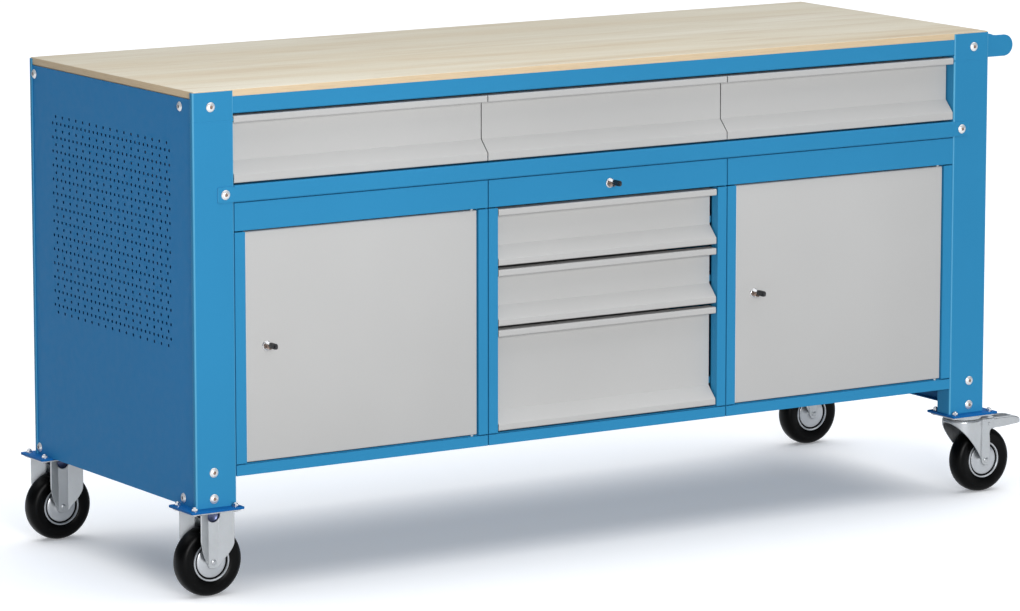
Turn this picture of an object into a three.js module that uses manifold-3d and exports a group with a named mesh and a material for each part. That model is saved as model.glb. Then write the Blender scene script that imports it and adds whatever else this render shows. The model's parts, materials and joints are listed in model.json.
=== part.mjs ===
// Mobile steel workbench: a plywood top on a folded-sheet frame, three wide drawers under the top,
// below them two cupboards with a drawer unit between them, and four 125 mm casters.
// Millimetres, +Z up. The front faces -Y and the push handle is at the +X end.
// Shapes are built in the bench's own coordinates: X and Y from the middle of the frame, Z from
// the floor. The last lines move the whole group to its origin.

import * as THREE from 'three';
import { mergeVertices } from 'three/addons/utils/BufferGeometryUtils.js';
import Module from 'manifold-3d';

const wasm = await Module();
wasm.setup();

// ---------------------------------------------------------------- driving dimensions

const BENCH_LENGTH = 1700;
const BENCH_DEPTH = 600;
const WORK_HEIGHT = 880;

const FRAME_SHEET = 2; // folded frame parts
const CASE_SHEET = 1.5; // cabinets, doors and drawers
const GAP = 0.3; // clearance of parts that fit into each other

const BOARD_THICKNESS = 30;
const BOARD_LIP = 12; // height of the edge that stays visible above the rails

const POST_WIDTH = 80;
const POST_LIP = 10; // short return round the outer corner
const POST_RETURN = 38; // deep return on the inner side
const POST_TOP_STEP = 2; // the post ends this far below the work surface

const RAIL_HEIGHT = 30;
const RAIL_DEPTH = 40;
const TAB_REACH = 33; // the middle rail's tabs overlap the posts
const TAB_HEIGHT = 27;
const TAB_CORNER = 3;

const PANEL_STEP = 14; // the side panel's skin ends this far below the work surface
const PANEL_FLANGE = 56;
const PANEL_LEDGE = 30;

const TOP_BAY_HEIGHT = 123; // between the front rail and the middle rail
const CASE_HEIGHT = 477;
const CASE_DEPTH = 590;
const CASE_SEAM = 0.625; // beside each cabinet
const HEADER_HEIGHT = 51;
const SILL_HEIGHT = 20;
const STILE_WIDTH = 20;
const REVEAL_DEPTH = 20;
const SILL_RETURN = 12;

const LOWER_RAIL_INSET = 22;
const LOWER_RAIL_DEPTH = 30;

const TOP_FRONT_RISE = 2.5; // above the middle rail
const TOP_FRONT_DROP = 5.5; // below the top rail
const TOP_FRONT_GAP = 1.5; // beside each front
const TOP_FOOT_LIP = 14;

const UNIT_SHALLOW_FRONT = 102; // the upper and the middle front; the lower one fills the rest
const UNIT_TOP_GAP = 4;
const UNIT_ROW_GAP = 6.5;
const UNIT_BOTTOM_GAP = 3;
const UNIT_SIDE_GAP = 2;
const UNIT_FOOT_LIP = 11.5;

const HEAD_LIP = 12; // the strip along the top of every drawer front
const GRIP_DEPTH = 22; // how far the front is set back under that strip
const GRIP_SLOPE = 24; // height of the slope that leads out to the foot lip
const BOX_DEPTH = 500;
const BOX_INSET = 14; // from the front's end to the side of the box
const BOX_RISE = 6; // from the front's lower edge to the floor of the box
const BOX_HEADROOM = 27; // how much lower a box is than its front
const BOX_SHEET = 1.25;
const SLIDE_REACH = 11; // the drawer's own slide bar, outside the box
const CHANNEL_HEIGHT = 26; // the fixed channel that the bar runs in
const CHANNEL_MOUTH = 1; // gap between the channel's mouth and the box
const CHANNEL_DEPTH = 12.5;
const CHANNEL_RISE = 24; // from the floor of the box to the channel
const STANDOFF_LENGTH = 24;
const STANDOFF_HEIGHT = 12;

const DOOR_GAP = 2;
const DOOR_SETBACK = 3;
const DOOR_THICKNESS = 18;
const HINGE_FROM_EDGE = 8;
const HINGE_FROM_FACE = 5;
const HINGE_PIN_RADIUS = 2.5;
const HINGE_PIN_REACH = 3.2;

const SHELF_HEIGHT = 196; // above the cabinet's floor
const SHELF_EDGE = 18;
const SHELF_SETBACK = 36;
const LEDGE_WIDTH = 14;

const LOCK_FROM_EDGE = 40;
const LOCK_RADIUS = 8;
const LOCK_HEAD_RADIUS = 9.5;
const LOCK_HEAD_HEIGHT = 3;
const KEY_SHANK_RADIUS = 2.6;
const KEY_SHANK_LENGTH = 13.5;
const KEY_BOW_LENGTH = 20;
const KEY_BOW_HEIGHT = 10;
const KEY_BOW_THICKNESS = 4;
const CAM_SHEET = 2;
const CAM_WIDTH = 14;
const DOOR_CAM_REACH = 50;
const UNIT_CAM_REACH = 20;

const FOOT_PLATE_LENGTH = 105; // along X
const FOOT_PLATE_WIDTH = 85; // along Y
const FOOT_PLATE_SHEET = 4;
const FOOT_PLATE_OVERHANG = 20; // past the frame's outer faces
const BOLT_SPACING_X = 80;
const BOLT_SPACING_Y = 60;
const BOLT_HOLE_RADIUS = 4.5;

const CASTER_PLATE_SHEET = 3;
const FORK_SHEET = 2.5;
const WHEEL_DIAMETER = 125;
const TYRE_WIDTH = 38;
const RIM_DIAMETER = 70;
const HUB_WIDTH = 41;
const AXLE_RADIUS = 5;
const AXLE_HEAD_RADIUS = 6.5; // riveted ends
const AXLE_HEAD_HEIGHT = 2.2;
const CASTER_HEIGHT = 154; // floor to the upper face of the caster's plate
const FORK_FLAT = 21.6; // width of the flat strip that carries the axle
const FORK_HALF_WIDTH = 33.5;
const FORK_WING = 17; // how far the legs' wings stand out from that strip
const FORK_SPREAD = 42; // between the legs' inner faces
const FORK_FOOT = 11; // the legs end this far below the axle
const FORK_SHOULDER = 42; // height above the axle where the taper begins
const FORK_SLOT_RADIUS = 12;
const FORK_SLOT_DEPTH = 18; // from the caster's plate to the bottom of the slot
const FORK_TIP_CHAMFER = 4;
const SWIVEL_TRAIL = 40;
const CROWN_RADIUS = 38;
const CROWN_SKIRT = 5; // height of the round wall at the very front
const CROWN_SHOULDER = 10; // how much lower the straight leading edge begins
const LEG_FOOT_RADIUS = 9.5; // the legs' round ends about the axle
const LEG_FOOT_START = 219; // the angle at which the leading edge meets that round end
const LEG_WAIST_HEIGHT = 50; // above the axle
const LEG_REAR_WAIST = 8; // the rear edge behind the axle: at its waist
const LEG_REAR_TOP = 18; // and under the crown
const RACE_RADIUS = 30;
const RACE_HEIGHT = 6;
const KINGPIN_RADIUS = 8;
const PEDAL_LENGTH = 86.5; // from its pivot to its tip
const PEDAL_WIDTH = 36;
const PEDAL_ROOT = 6; // from its pivot to its inner end
const PEDAL_SKIRT = 19.5; // depth of its edge beside the fork
const PEDAL_NOSE = 6.5; // how far the tip turns down
const PEDAL_SLOT_HALF = 6;
const PEDAL_TREAD_RISE = 78; // the tread's upper face, above the axle
const PEDAL_PIVOT_RADIUS = 3;
const PEDAL_PIVOT_X = 47; // from the kingpin
const PEDAL_PIVOT_DROP = 9; // the pivot's axis, below the tread

const HANDLE_REACH = 65;
const HANDLE_STRAP = 40;
const HANDLE_SHEET = 4;
const HANDLE_BEND = 8;
const HANDLE_FLARE = 4; // the straps grow this much higher beside the post
const HANDLE_BAR_RADIUS = 12.5;
const HANDLE_DROP = 31; // the bar's axis, below the work surface
const HANDLE_INSET = 11; // from the frame's front face to the strap
const HANDLE_FOOT = 54;

const ROUND_SIDES = 24;
const SMALL_SIDES = 12;

// ---------------------------------------------------------------- derived levels and faces

const HALF_LENGTH = BENCH_LENGTH / 2;
const HALF_DEPTH = BENCH_DEPTH / 2;
const INNER_HALF = HALF_LENGTH - POST_WIDTH; // the cabinets and drawers lie between these

const LIP_Z = WORK_HEIGHT - BOARD_LIP;
const BOARD_SEAT_Z = WORK_HEIGHT - BOARD_THICKNESS;
const TOP_RAIL_Z = LIP_Z - RAIL_HEIGHT;
const MIDDLE_RAIL_Z = TOP_RAIL_Z - TOP_BAY_HEIGHT - RAIL_HEIGHT;
const CASE_TOP_Z = MIDDLE_RAIL_Z;
const CASE_BOTTOM_Z = CASE_TOP_Z - CASE_HEIGHT;
const CASE_FLOOR_Z = CASE_BOTTOM_Z + SILL_HEIGHT;
const OPENING_TOP_Z = CASE_TOP_Z - HEADER_HEIGHT;
const POST_BOTTOM_Z = CASTER_HEIGHT + FOOT_PLATE_SHEET;
const AXLE_Z = WHEEL_DIAMETER / 2;

const CASE_WIDTH = (2 * INNER_HALF - 4 * CASE_SEAM) / 3;
const CASE_PITCH = CASE_WIDTH + CASE_SEAM;
const OPENING_HALF = CASE_WIDTH / 2 - STILE_WIDTH;

const TOP_FRONT_WIDTH = (2 * INNER_HALF - 4 * TOP_FRONT_GAP) / 3;
const TOP_PITCH = TOP_FRONT_WIDTH + TOP_FRONT_GAP;
const TOP_FRONT_Z = TOP_RAIL_Z - TOP_BAY_HEIGHT + TOP_FRONT_RISE;
const TOP_FRONT_HEIGHT = TOP_BAY_HEIGHT - TOP_FRONT_RISE - TOP_FRONT_DROP;

const CASTER_X = HALF_LENGTH + FOOT_PLATE_OVERHANG - FOOT_PLATE_LENGTH / 2;
const CASTER_Y = HALF_DEPTH + FOOT_PLATE_OVERHANG - FOOT_PLATE_WIDTH / 2;

// ---------------------------------------------------------------- materials

function paint(name, color, roughness, metalness) {
  return new THREE.MeshStandardMaterial({ name, color, roughness, metalness });
}

const BLUE_PAINT = paint('blue_paint', 0x2b83bb, 0.45, 0.1);
const GREY_PAINT = paint('grey_paint', 0xc4c3c1, 0.5, 0.1);
const PLYWOOD = paint('plywood', 0xd6c6a6, 0.55, 0);
const ZINC = paint('zinc', 0xb4b9be, 0.35, 0.85);
const CHROME = paint('chrome', 0xd8dadc, 0.15, 1);
const RUBBER = paint('rubber', 0x101010, 0.4, 0);

// ---------------------------------------------------------------- solids

// Turns a closed geometry into a solid that can be joined and cut.
function solid(geometry) {
  const bare = geometry.clone();
  bare.deleteAttribute('normal');
  bare.deleteAttribute('uv');
  const merged = mergeVertices(bare, 1e-3);
  return new wasm.Manifold(new wasm.Mesh({
    numProp: 3,
    vertProperties: new Float32Array(merged.attributes.position.array),
    triVerts: new Uint32Array(merged.index.array),
  }));
}

function geometryOf(shape) {
  const mesh = shape.getMesh();
  const geometry = new THREE.BufferGeometry();
  geometry.setAttribute('position', new THREE.BufferAttribute(mesh.vertProperties, 3));
  geometry.setIndex(new THREE.BufferAttribute(mesh.triVerts, 1));
  geometry.computeVertexNormals();
  return geometry;
}

function join(...shapes) {
  return shapes.reduce((whole, shape) => whole.add(shape));
}

function cut(body, ...tools) {
  return tools.reduce((left, tool) => left.subtract(tool), body);
}

function box(x0, x1, y0, y1, z0, z1) {
  const geometry = new THREE.BoxGeometry(Math.abs(x1 - x0), Math.abs(y1 - y0), Math.abs(z1 - z0));
  geometry.translate((x0 + x1) / 2, (y0 + y1) / 2, (z0 + z1) / 2);
  return solid(geometry);
}

// Which way the outline's two directions and the extrusion run, for each extrusion axis.
const PRISM_BASES = {
  x: new THREE.Matrix4().makeBasis(
    new THREE.Vector3(0, 1, 0), new THREE.Vector3(0, 0, 1), new THREE.Vector3(1, 0, 0)),
  y: new THREE.Matrix4().makeBasis(
    new THREE.Vector3(1, 0, 0), new THREE.Vector3(0, 0, 1), new THREE.Vector3(0, -1, 0)),
  z: new THREE.Matrix4(),
};

// Extrudes an outline of [u, v] points along an axis: (y, z) along x, (x, z) along y, (x, y) along z.
function prism(outline, axis, from, to) {
  const shape = new THREE.Shape(outline.map(([u, v]) => new THREE.Vector2(u, v)));
  const geometry = new THREE.ExtrudeGeometry(shape, { depth: to - from, bevelEnabled: false });
  geometry.translate(0, 0, axis === 'y' ? -to : from);
  geometry.applyMatrix4(PRISM_BASES[axis]);
  return solid(geometry);
}

function arc(u, v, radius, startDeg, endDeg, steps) {
  const points = [];
  for (let i = 0; i <= steps; i += 1) {
    const angle = THREE.MathUtils.degToRad(startDeg + (endDeg - startDeg) * i / steps);
    points.push([u + radius * Math.cos(angle), v + radius * Math.sin(angle)]);
  }
  return points;
}

function circle(u, v, radius, sides) {
  return arc(u, v, radius, 180 / sides, 360 - 180 / sides, sides - 1);
}

function rectangle(u0, u1, v0, v1) {
  return [[u0, v0], [u1, v0], [u1, v1], [u0, v1]];
}

function roundedRectangle(u0, u1, v0, v1, radius) {
  return [
    ...arc(u1 - radius, v0 + radius, radius, -90, 0, 3),
    ...arc(u1 - radius, v1 - radius, radius, 0, 90, 3),
    ...arc(u0 + radius, v1 - radius, radius, 90, 180, 3),
    ...arc(u0 + radius, v0 + radius, radius, 180, 270, 3),
  ];
}

function rod(axis, u, v, radius, from, to, sides = SMALL_SIDES) {
  return prism(circle(u, v, radius, sides), axis, from, to);
}

// Revolves a closed profile of [radius, y] points about the Y axis, with a flat side at the bottom.
function revolve(profile, sides) {
  const flatFactor = 1 / Math.cos(Math.PI / sides);
  const points = profile.map(([radius, y]) => new THREE.Vector2(radius * flatFactor, y));
  const geometry = new THREE.LatheGeometry([...points, points[0]], sides, Math.PI / sides);
  return solid(geometry);
}

// ---------------------------------------------------------------- scene helpers

const bench = new THREE.Group();

function addPart(parent, name, shape, material) {
  const mesh = new THREE.Mesh(geometryOf(shape), material);
  mesh.name = name;
  parent.add(mesh);
}

function addGroup(x, y, z) {
  const group = new THREE.Group();
  group.position.set(x, y, z);
  bench.add(group);
  return group;
}

// ---------------------------------------------------------------- worktop and frame

function makeWorktop() {
  const lipX = HALF_LENGTH - FRAME_SHEET;
  const lipY = HALF_DEPTH - FRAME_SHEET;
  const bodyX = lipX - FRAME_SHEET - GAP;
  const bodyY = lipY - FRAME_SHEET - GAP;
  const edge = 1; // small bevel round the upper edge
  const lip = rectangle(-lipX, lipX, -lipY, lipY);
  const bevel = { depth: BOARD_LIP - edge, bevelThickness: edge, bevelSize: edge, bevelSegments: 1 };
  const inset = lip.map(([x, y]) => new THREE.Vector2(x - Math.sign(x) * edge, y - Math.sign(y) * edge));
  const lipGeometry = new THREE.ExtrudeGeometry(new THREE.Shape(inset), bevel);
  lipGeometry.translate(0, 0, LIP_Z);
  const aboveSeat = box(-HALF_LENGTH, HALF_LENGTH, -HALF_DEPTH, HALF_DEPTH, LIP_Z, WORK_HEIGHT);
  const body = box(-bodyX, bodyX, -bodyY, bodyY, BOARD_SEAT_Z, LIP_Z);
  return join(solid(lipGeometry).intersect(aboveSeat), body);
}

// A post folded from sheet, with the caster's foot plate welded under it. sideX and sideY are the
// signs of the corner that it stands at.
function makePost(sideX, sideY) {
  const outer = sideX * HALF_LENGTH;
  const inner = sideX * INNER_HALF;
  const face = sideY * HALF_DEPTH;
  const x = (distance) => outer - sideX * distance;
  const y = (distance) => face - sideY * distance;
  const section = [
    [outer, y(POST_LIP)], [outer, face], [inner, face], [inner, y(POST_RETURN)],
    [inner + sideX * FRAME_SHEET, y(POST_RETURN)], [inner + sideX * FRAME_SHEET, y(FRAME_SHEET)],
    [x(FRAME_SHEET), y(FRAME_SHEET)], [x(FRAME_SHEET), y(POST_LIP)],
  ];
  const folded = prism(section, 'z', POST_BOTTOM_Z, WORK_HEIGHT - POST_TOP_STEP);
  // The inner return makes way for the top rail, which runs on behind the post's face.
  const railWay = box(
    inner + sideX * (FRAME_SHEET + GAP), inner - sideX * GAP,
    y(FRAME_SHEET), y(POST_RETURN + GAP), TOP_RAIL_Z - GAP, WORK_HEIGHT);
  const plateX = sideX * CASTER_X;
  const plateY = sideY * CASTER_Y;
  const plate = box(
    plateX - FOOT_PLATE_LENGTH / 2, plateX + FOOT_PLATE_LENGTH / 2,
    plateY - FOOT_PLATE_WIDTH / 2, plateY + FOOT_PLATE_WIDTH / 2,
    CASTER_HEIGHT, POST_BOTTOM_Z);
  return cut(join(cut(folded, railWay), plate), ...boltHoles(plateX, plateY, CASTER_HEIGHT, POST_BOTTOM_Z));
}

function boltHoles(x, y, z0, z1) {
  const holes = [];
  for (const i of [-0.5, 0.5]) {
    for (const j of [-0.5, 0.5]) {
      holes.push(rod('z', x + i * BOLT_SPACING_X, y + j * BOLT_SPACING_Y, BOLT_HOLE_RADIUS,
        z0 - 1, z1 + 1, 8));
    }
  }
  return holes;
}

// A skin with flanges behind the posts' faces, a ledge under the board and a foot on the plates.
function makeSidePanel(side) {
  const x = (distance) => side * (HALF_LENGTH - distance);
  const skinTop = WORK_HEIGHT - PANEL_STEP;
  const edgeY = HALF_DEPTH - FRAME_SHEET;
  const skin = box(x(FRAME_SHEET), x(2 * FRAME_SHEET), -edgeY, edgeY, POST_BOTTOM_Z, skinTop);
  const flanges = [-1, 1].map((end) => box(
    x(FRAME_SHEET), x(FRAME_SHEET + PANEL_FLANGE), end * edgeY, end * (edgeY - FRAME_SHEET),
    POST_BOTTOM_Z, TOP_RAIL_Z - GAP));
  const ledgeY = edgeY - RAIL_DEPTH - GAP;
  const ledge = box(x(FRAME_SHEET), x(FRAME_SHEET + PANEL_LEDGE), -ledgeY, ledgeY,
    BOARD_SEAT_Z - FRAME_SHEET, BOARD_SEAT_Z);
  const foot = box(x(FRAME_SHEET), x(FRAME_SHEET + PANEL_LEDGE), -edgeY, edgeY,
    POST_BOTTOM_Z, POST_BOTTOM_Z + FRAME_SHEET);
  return join(skin, ...flanges, ledge, foot);
}

// The channel under the board's long edges: an outer web, a floor and a low inner web that carries
// the board. side is the sign of the edge along Y.
function topChannel(side) {
  const y = (distance) => side * (HALF_DEPTH - FRAME_SHEET - distance);
  const section = [
    [y(0), LIP_Z], [y(0), TOP_RAIL_Z], [y(RAIL_DEPTH), TOP_RAIL_Z], [y(RAIL_DEPTH), BOARD_SEAT_Z],
    [y(RAIL_DEPTH - FRAME_SHEET), BOARD_SEAT_Z], [y(RAIL_DEPTH - FRAME_SHEET), TOP_RAIL_Z + FRAME_SHEET],
    [y(FRAME_SHEET), TOP_RAIL_Z + FRAME_SHEET], [y(FRAME_SHEET), LIP_Z],
  ];
  const end = HALF_LENGTH - 2 * FRAME_SHEET - GAP;
  return prism(section, 'x', -end, end);
}

// The apron closes the back of the top drawers' bay and hangs from the rear channel.
function makeRearApron() {
  const y = (distance) => HALF_DEPTH - FRAME_SHEET - distance;
  const web = box(-INNER_HALF, INNER_HALF, y(0), y(FRAME_SHEET), CASE_TOP_Z, TOP_RAIL_Z + FRAME_SHEET);
  const foot = box(-INNER_HALF, INNER_HALF, y(0), y(RAIL_DEPTH), CASE_TOP_Z, CASE_TOP_Z + FRAME_SHEET);
  return join(topChannel(1), web, foot);
}

// The rail between the top drawers and the cabinets: a channel between the posts, with a face
// plate whose rounded tabs lie on the posts' faces.
function makeMiddleRail() {
  const face = -HALF_DEPTH;
  const front = face - FRAME_SHEET;
  const top = MIDDLE_RAIL_Z + RAIL_HEIGHT;
  const section = [
    [front, MIDDLE_RAIL_Z], [face - FRAME_SHEET + RAIL_DEPTH, MIDDLE_RAIL_Z],
    [front + RAIL_DEPTH, MIDDLE_RAIL_Z + FRAME_SHEET], [face, MIDDLE_RAIL_Z + FRAME_SHEET],
    [face, top - FRAME_SHEET], [front + RAIL_DEPTH, top - FRAME_SHEET], [front + RAIL_DEPTH, top],
    [front, top],
  ];
  const channel = prism(section, 'x', -INNER_HALF, INNER_HALF);
  const tabZ = MIDDLE_RAIL_Z + (RAIL_HEIGHT - TAB_HEIGHT) / 2;
  const tabX = INNER_HALF + TAB_REACH;
  const tabs = prism(
    roundedRectangle(-tabX, tabX, tabZ, tabZ + TAB_HEIGHT, TAB_CORNER), 'y', front, face);
  return join(channel, tabs);
}

// A U-shaped rail under the cabinets' floors, between the posts' returns.
function makeLowerRail(side) {
  const outer = side * (HALF_DEPTH - LOWER_RAIL_INSET);
  const inner = outer - side * LOWER_RAIL_DEPTH;
  const t = side * FRAME_SHEET;
  const top = CASE_FLOOR_Z - CASE_SHEET;
  const section = [
    [outer, CASE_BOTTOM_Z], [outer, top], [inner, top], [inner, CASE_BOTTOM_Z],
    [inner + t, CASE_BOTTOM_Z], [inner + t, top - FRAME_SHEET],
    [outer - t, top - FRAME_SHEET], [outer - t, CASE_BOTTOM_Z],
  ];
  return prism(section, 'x', -INNER_HALF, INNER_HALF);
}

// ---------------------------------------------------------------- drawer slides

// A fixed channel whose mouth faces the drawer. side is +1 for the channel at the drawer's +X end.
function slideChannel(side, mouthX, webX, y0, y1, z0) {
  const top = z0 + CHANNEL_HEIGHT;
  const web = webX - side * CASE_SHEET;
  const section = [
    [mouthX, z0], [webX, z0], [webX, top], [mouthX, top],
    [mouthX, top - CASE_SHEET], [web, top - CASE_SHEET], [web, z0 + CASE_SHEET], [mouthX, z0 + CASE_SHEET],
  ];
  return prism(section, 'y', y0, y1);
}

const BOX_FRONT_Y = -HALF_DEPTH + GRIP_DEPTH + CASE_SHEET;
const TOP_CHANNEL_Z = TOP_FRONT_Z + BOX_RISE + CHANNEL_RISE;
const TOP_BOX_HALF = TOP_FRONT_WIDTH / 2 - BOX_INSET;
const CARRIER_Y0 = -HALF_DEPTH - FRAME_SHEET + RAIL_DEPTH + GAP;
const CARRIER_Y1 = HALF_DEPTH - FRAME_SHEET - RAIL_DEPTH - GAP;

// The plate at either end of the top drawers' bay, with one channel.
function makeEndCarrier(side) {
  const outer = side * INNER_HALF;
  const mouth = side * (TOP_PITCH + TOP_BOX_HALF + CHANNEL_MOUTH);
  const plate = box(outer, outer - side * FRAME_SHEET, CARRIER_Y0, CARRIER_Y1, CASE_TOP_Z, TOP_RAIL_Z);
  return join(plate, slideChannel(side, mouth, outer, CARRIER_Y0, CARRIER_Y1, TOP_CHANNEL_Z));
}

// The plate between two top drawers, with a channel on each face and a slot over the middle rail.
function makeDivider(side) {
  const middle = side * TOP_PITCH / 2;
  const plate = box(middle - FRAME_SHEET / 2, middle + FRAME_SHEET / 2, CARRIER_Y0, CARRIER_Y1,
    CASE_TOP_Z, TOP_RAIL_Z);
  const channels = [-1, 1].map((face) => slideChannel(
    -face, middle + face * (TOP_PITCH / 2 - TOP_BOX_HALF - CHANNEL_MOUTH), middle,
    CARRIER_Y0, CARRIER_Y1, TOP_CHANNEL_Z));
  return join(plate, ...channels);
}

// ---------------------------------------------------------------- cabinets

// Name, lower edge and height of the drawer unit's fronts, top to bottom.
function unitDrawerLevels() {
  const upperZ = OPENING_TOP_Z - UNIT_TOP_GAP - UNIT_SHALLOW_FRONT;
  const middleZ = upperZ - UNIT_ROW_GAP - UNIT_SHALLOW_FRONT;
  const lowerZ = CASE_FLOOR_Z + UNIT_BOTTOM_GAP;
  return [
    { name: 'upper', bottom: upperZ, height: UNIT_SHALLOW_FRONT },
    { name: 'middle', bottom: middleZ, height: UNIT_SHALLOW_FRONT },
    { name: 'lower', bottom: lowerZ, height: middleZ - UNIT_ROW_GAP - lowerZ },
  ];
}

// A box of sheet with an opening in the front, a reveal round it and a sill that hangs below the
// floor. The shape is centred on x = 0.
function makeCaseShell() {
  const half = CASE_WIDTH / 2;
  const front = -HALF_DEPTH;
  const back = front + CASE_DEPTH;
  const t = CASE_SHEET;
  const section = [
    [front, CASE_BOTTOM_Z], [front + t, CASE_BOTTOM_Z], [front + t, CASE_FLOOR_Z - t],
    [back, CASE_FLOOR_Z - t], [back, CASE_TOP_Z], [front, CASE_TOP_Z],
  ];
  const shell = cut(
    prism(section, 'x', -half, half),
    box(-half + t, half - t, front + t, back - t, CASE_FLOOR_Z, CASE_TOP_Z - t));
  const reveal = box(-OPENING_HALF - t, OPENING_HALF + t, front, front + REVEAL_DEPTH,
    CASE_FLOOR_Z - t, OPENING_TOP_Z + t);
  const way = box(-OPENING_HALF, OPENING_HALF, front - 1, front + REVEAL_DEPTH + 1,
    CASE_FLOOR_Z, OPENING_TOP_Z);
  const sillReturn = box(-half, half, front, front + SILL_RETURN, CASE_BOTTOM_Z, CASE_BOTTOM_Z + t);
  return join(cut(join(shell, reveal), way), sillReturn);
}

function makeDrawerCase() {
  const boxHalf = OPENING_HALF - UNIT_SIDE_GAP - BOX_INSET;
  const mouth = boxHalf + CHANNEL_MOUTH;
  const web = mouth + CHANNEL_DEPTH;
  const wall = CASE_WIDTH / 2 - CASE_SHEET / 2;
  const y0 = BOX_FRONT_Y + 2 * CASE_SHEET;
  const y1 = BOX_FRONT_Y + BOX_DEPTH;
  const runners = [];
  for (const level of unitDrawerLevels()) {
    const z0 = level.bottom + BOX_RISE + CHANNEL_RISE;
    const z1 = z0 + (CHANNEL_HEIGHT - STANDOFF_HEIGHT) / 2;
    for (const side of [-1, 1]) {
      runners.push(slideChannel(side, side * mouth, side * web, y0, y1, z0));
      for (const y of [y0, y1 - STANDOFF_LENGTH]) {
        runners.push(box(side * (web - CASE_SHEET), side * wall, y, y + STANDOFF_LENGTH,
          z1, z1 + STANDOFF_HEIGHT));
      }
    }
  }
  const lockHole = rod('y', 0, OPENING_TOP_Z + HEADER_HEIGHT / 2, LOCK_RADIUS + GAP,
    -HALF_DEPTH - 1, -HALF_DEPTH + CASE_SHEET + 1, ROUND_SIDES);
  return cut(join(makeCaseShell(), ...runners), lockHole);
}

const HINGE_X = OPENING_HALF - DOOR_GAP - HINGE_FROM_EDGE;
const DOOR_FACE_Y = -HALF_DEPTH + DOOR_SETBACK;
const HINGE_Y = DOOR_FACE_Y + HINGE_FROM_FACE;

function makeDoorCase() {
  const t = CASE_SHEET;
  const pinHole = rod('z', HINGE_X, HINGE_Y, HINGE_PIN_RADIUS + GAP,
    CASE_FLOOR_Z - t - 1, OPENING_TOP_Z + t + 1);
  const shelfZ = CASE_FLOOR_Z + SHELF_HEIGHT;
  const wall = CASE_WIDTH / 2;
  const ledges = [-1, 1].map((side) => {
    const foot = side * (wall - t / 2);
    const edge = side * (wall - LEDGE_WIDTH);
    const section = [
      [foot, shelfZ - LEDGE_WIDTH], [foot, shelfZ], [edge, shelfZ], [edge, shelfZ - t],
      [side * (wall - 2 * t), shelfZ - t], [side * (wall - 2 * t), shelfZ - LEDGE_WIDTH],
    ];
    return prism(section, 'y', -HALF_DEPTH + SHELF_SETBACK, -HALF_DEPTH + CASE_DEPTH - t);
  });
  return cut(join(makeCaseShell(), ...ledges), pinHole);
}

// A shelf with its front and rear edges folded down, lying on the case's ledges.
function makeShelf() {
  const half = CASE_WIDTH / 2 - CASE_SHEET - GAP;
  const foldHalf = CASE_WIDTH / 2 - LEDGE_WIDTH - GAP;
  const z = CASE_FLOOR_Z + SHELF_HEIGHT;
  const y0 = -HALF_DEPTH + SHELF_SETBACK;
  const y1 = -HALF_DEPTH + CASE_DEPTH - CASE_SHEET - GAP;
  const t = CASE_SHEET;
  const top = box(-half, half, y0, y1, z, z + t);
  const frontFold = box(-foldHalf, foldHalf, y0, y0 + t, z - SHELF_EDGE, z);
  const rearFold = box(-foldHalf, foldHalf, y1 - t, y1, z - SHELF_EDGE, z);
  return join(top, frontFold, rearFold);
}

// ---------------------------------------------------------------- doors and locks

const DOOR_LOCK_X = -OPENING_HALF + DOOR_GAP + LOCK_FROM_EDGE;
const DOOR_LOCK_Z = (CASE_FLOOR_Z + OPENING_TOP_Z) / 2;

// A tray open at the back, with hinge pins standing in the case's floor and header.
function makeDoor() {
  const half = OPENING_HALF - DOOR_GAP;
  const back = DOOR_FACE_Y + DOOR_THICKNESS;
  const z0 = CASE_FLOOR_Z + DOOR_GAP;
  const z1 = OPENING_TOP_Z - DOOR_GAP;
  const t = CASE_SHEET;
  const tray = cut(
    box(-half, half, DOOR_FACE_Y, back, z0, z1),
    box(-half + t, half - t, DOOR_FACE_Y + t, back + 1, z0 + t, z1 - t),
    rod('y', DOOR_LOCK_X, DOOR_LOCK_Z, LOCK_RADIUS + GAP, DOOR_FACE_Y - 1, DOOR_FACE_Y + t + 1, ROUND_SIDES));
  const lowerPin = rod('z', HINGE_X, HINGE_Y, HINGE_PIN_RADIUS, z0 - HINGE_PIN_REACH, z0 + t);
  const upperPin = rod('z', HINGE_X, HINGE_Y, HINGE_PIN_RADIUS, z1 - t, z1 + HINGE_PIN_REACH);
  return join(tray, lowerPin, upperPin);
}

// The turning part of a cam lock with its key in it. The face that it sits in is at y = 0 and its
// axis is at the origin; the cam lies behind the sheet at camY and points down when unlocked.
function makeLock(camY, camReach) {
  const headFront = -LOCK_HEAD_HEIGHT;
  const head = rod('y', 0, 0, LOCK_HEAD_RADIUS, headFront, -GAP, ROUND_SIDES);
  const barrel = rod('y', 0, 0, LOCK_RADIUS, headFront, camY + CAM_SHEET, ROUND_SIDES);
  const cam = prism(
    roundedRectangle(-CAM_WIDTH / 2, CAM_WIDTH / 2, -camReach, CAM_WIDTH / 2, CAM_SHEET),
    'y', camY, camY + CAM_SHEET);
  const bowStart = headFront - KEY_SHANK_LENGTH;
  const shank = rod('y', 0, 0, KEY_SHANK_RADIUS, bowStart - CAM_SHEET, headFront);
  const bow = prism(
    roundedRectangle(bowStart - KEY_BOW_LENGTH, bowStart, -KEY_BOW_HEIGHT / 2, KEY_BOW_HEIGHT / 2,
      KEY_BOW_HEIGHT / 3),
    'x', -KEY_BOW_THICKNESS / 2, KEY_BOW_THICKNESS / 2);
  return join(head, barrel, cam, shank, bow);
}

// ---------------------------------------------------------------- drawers

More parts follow.
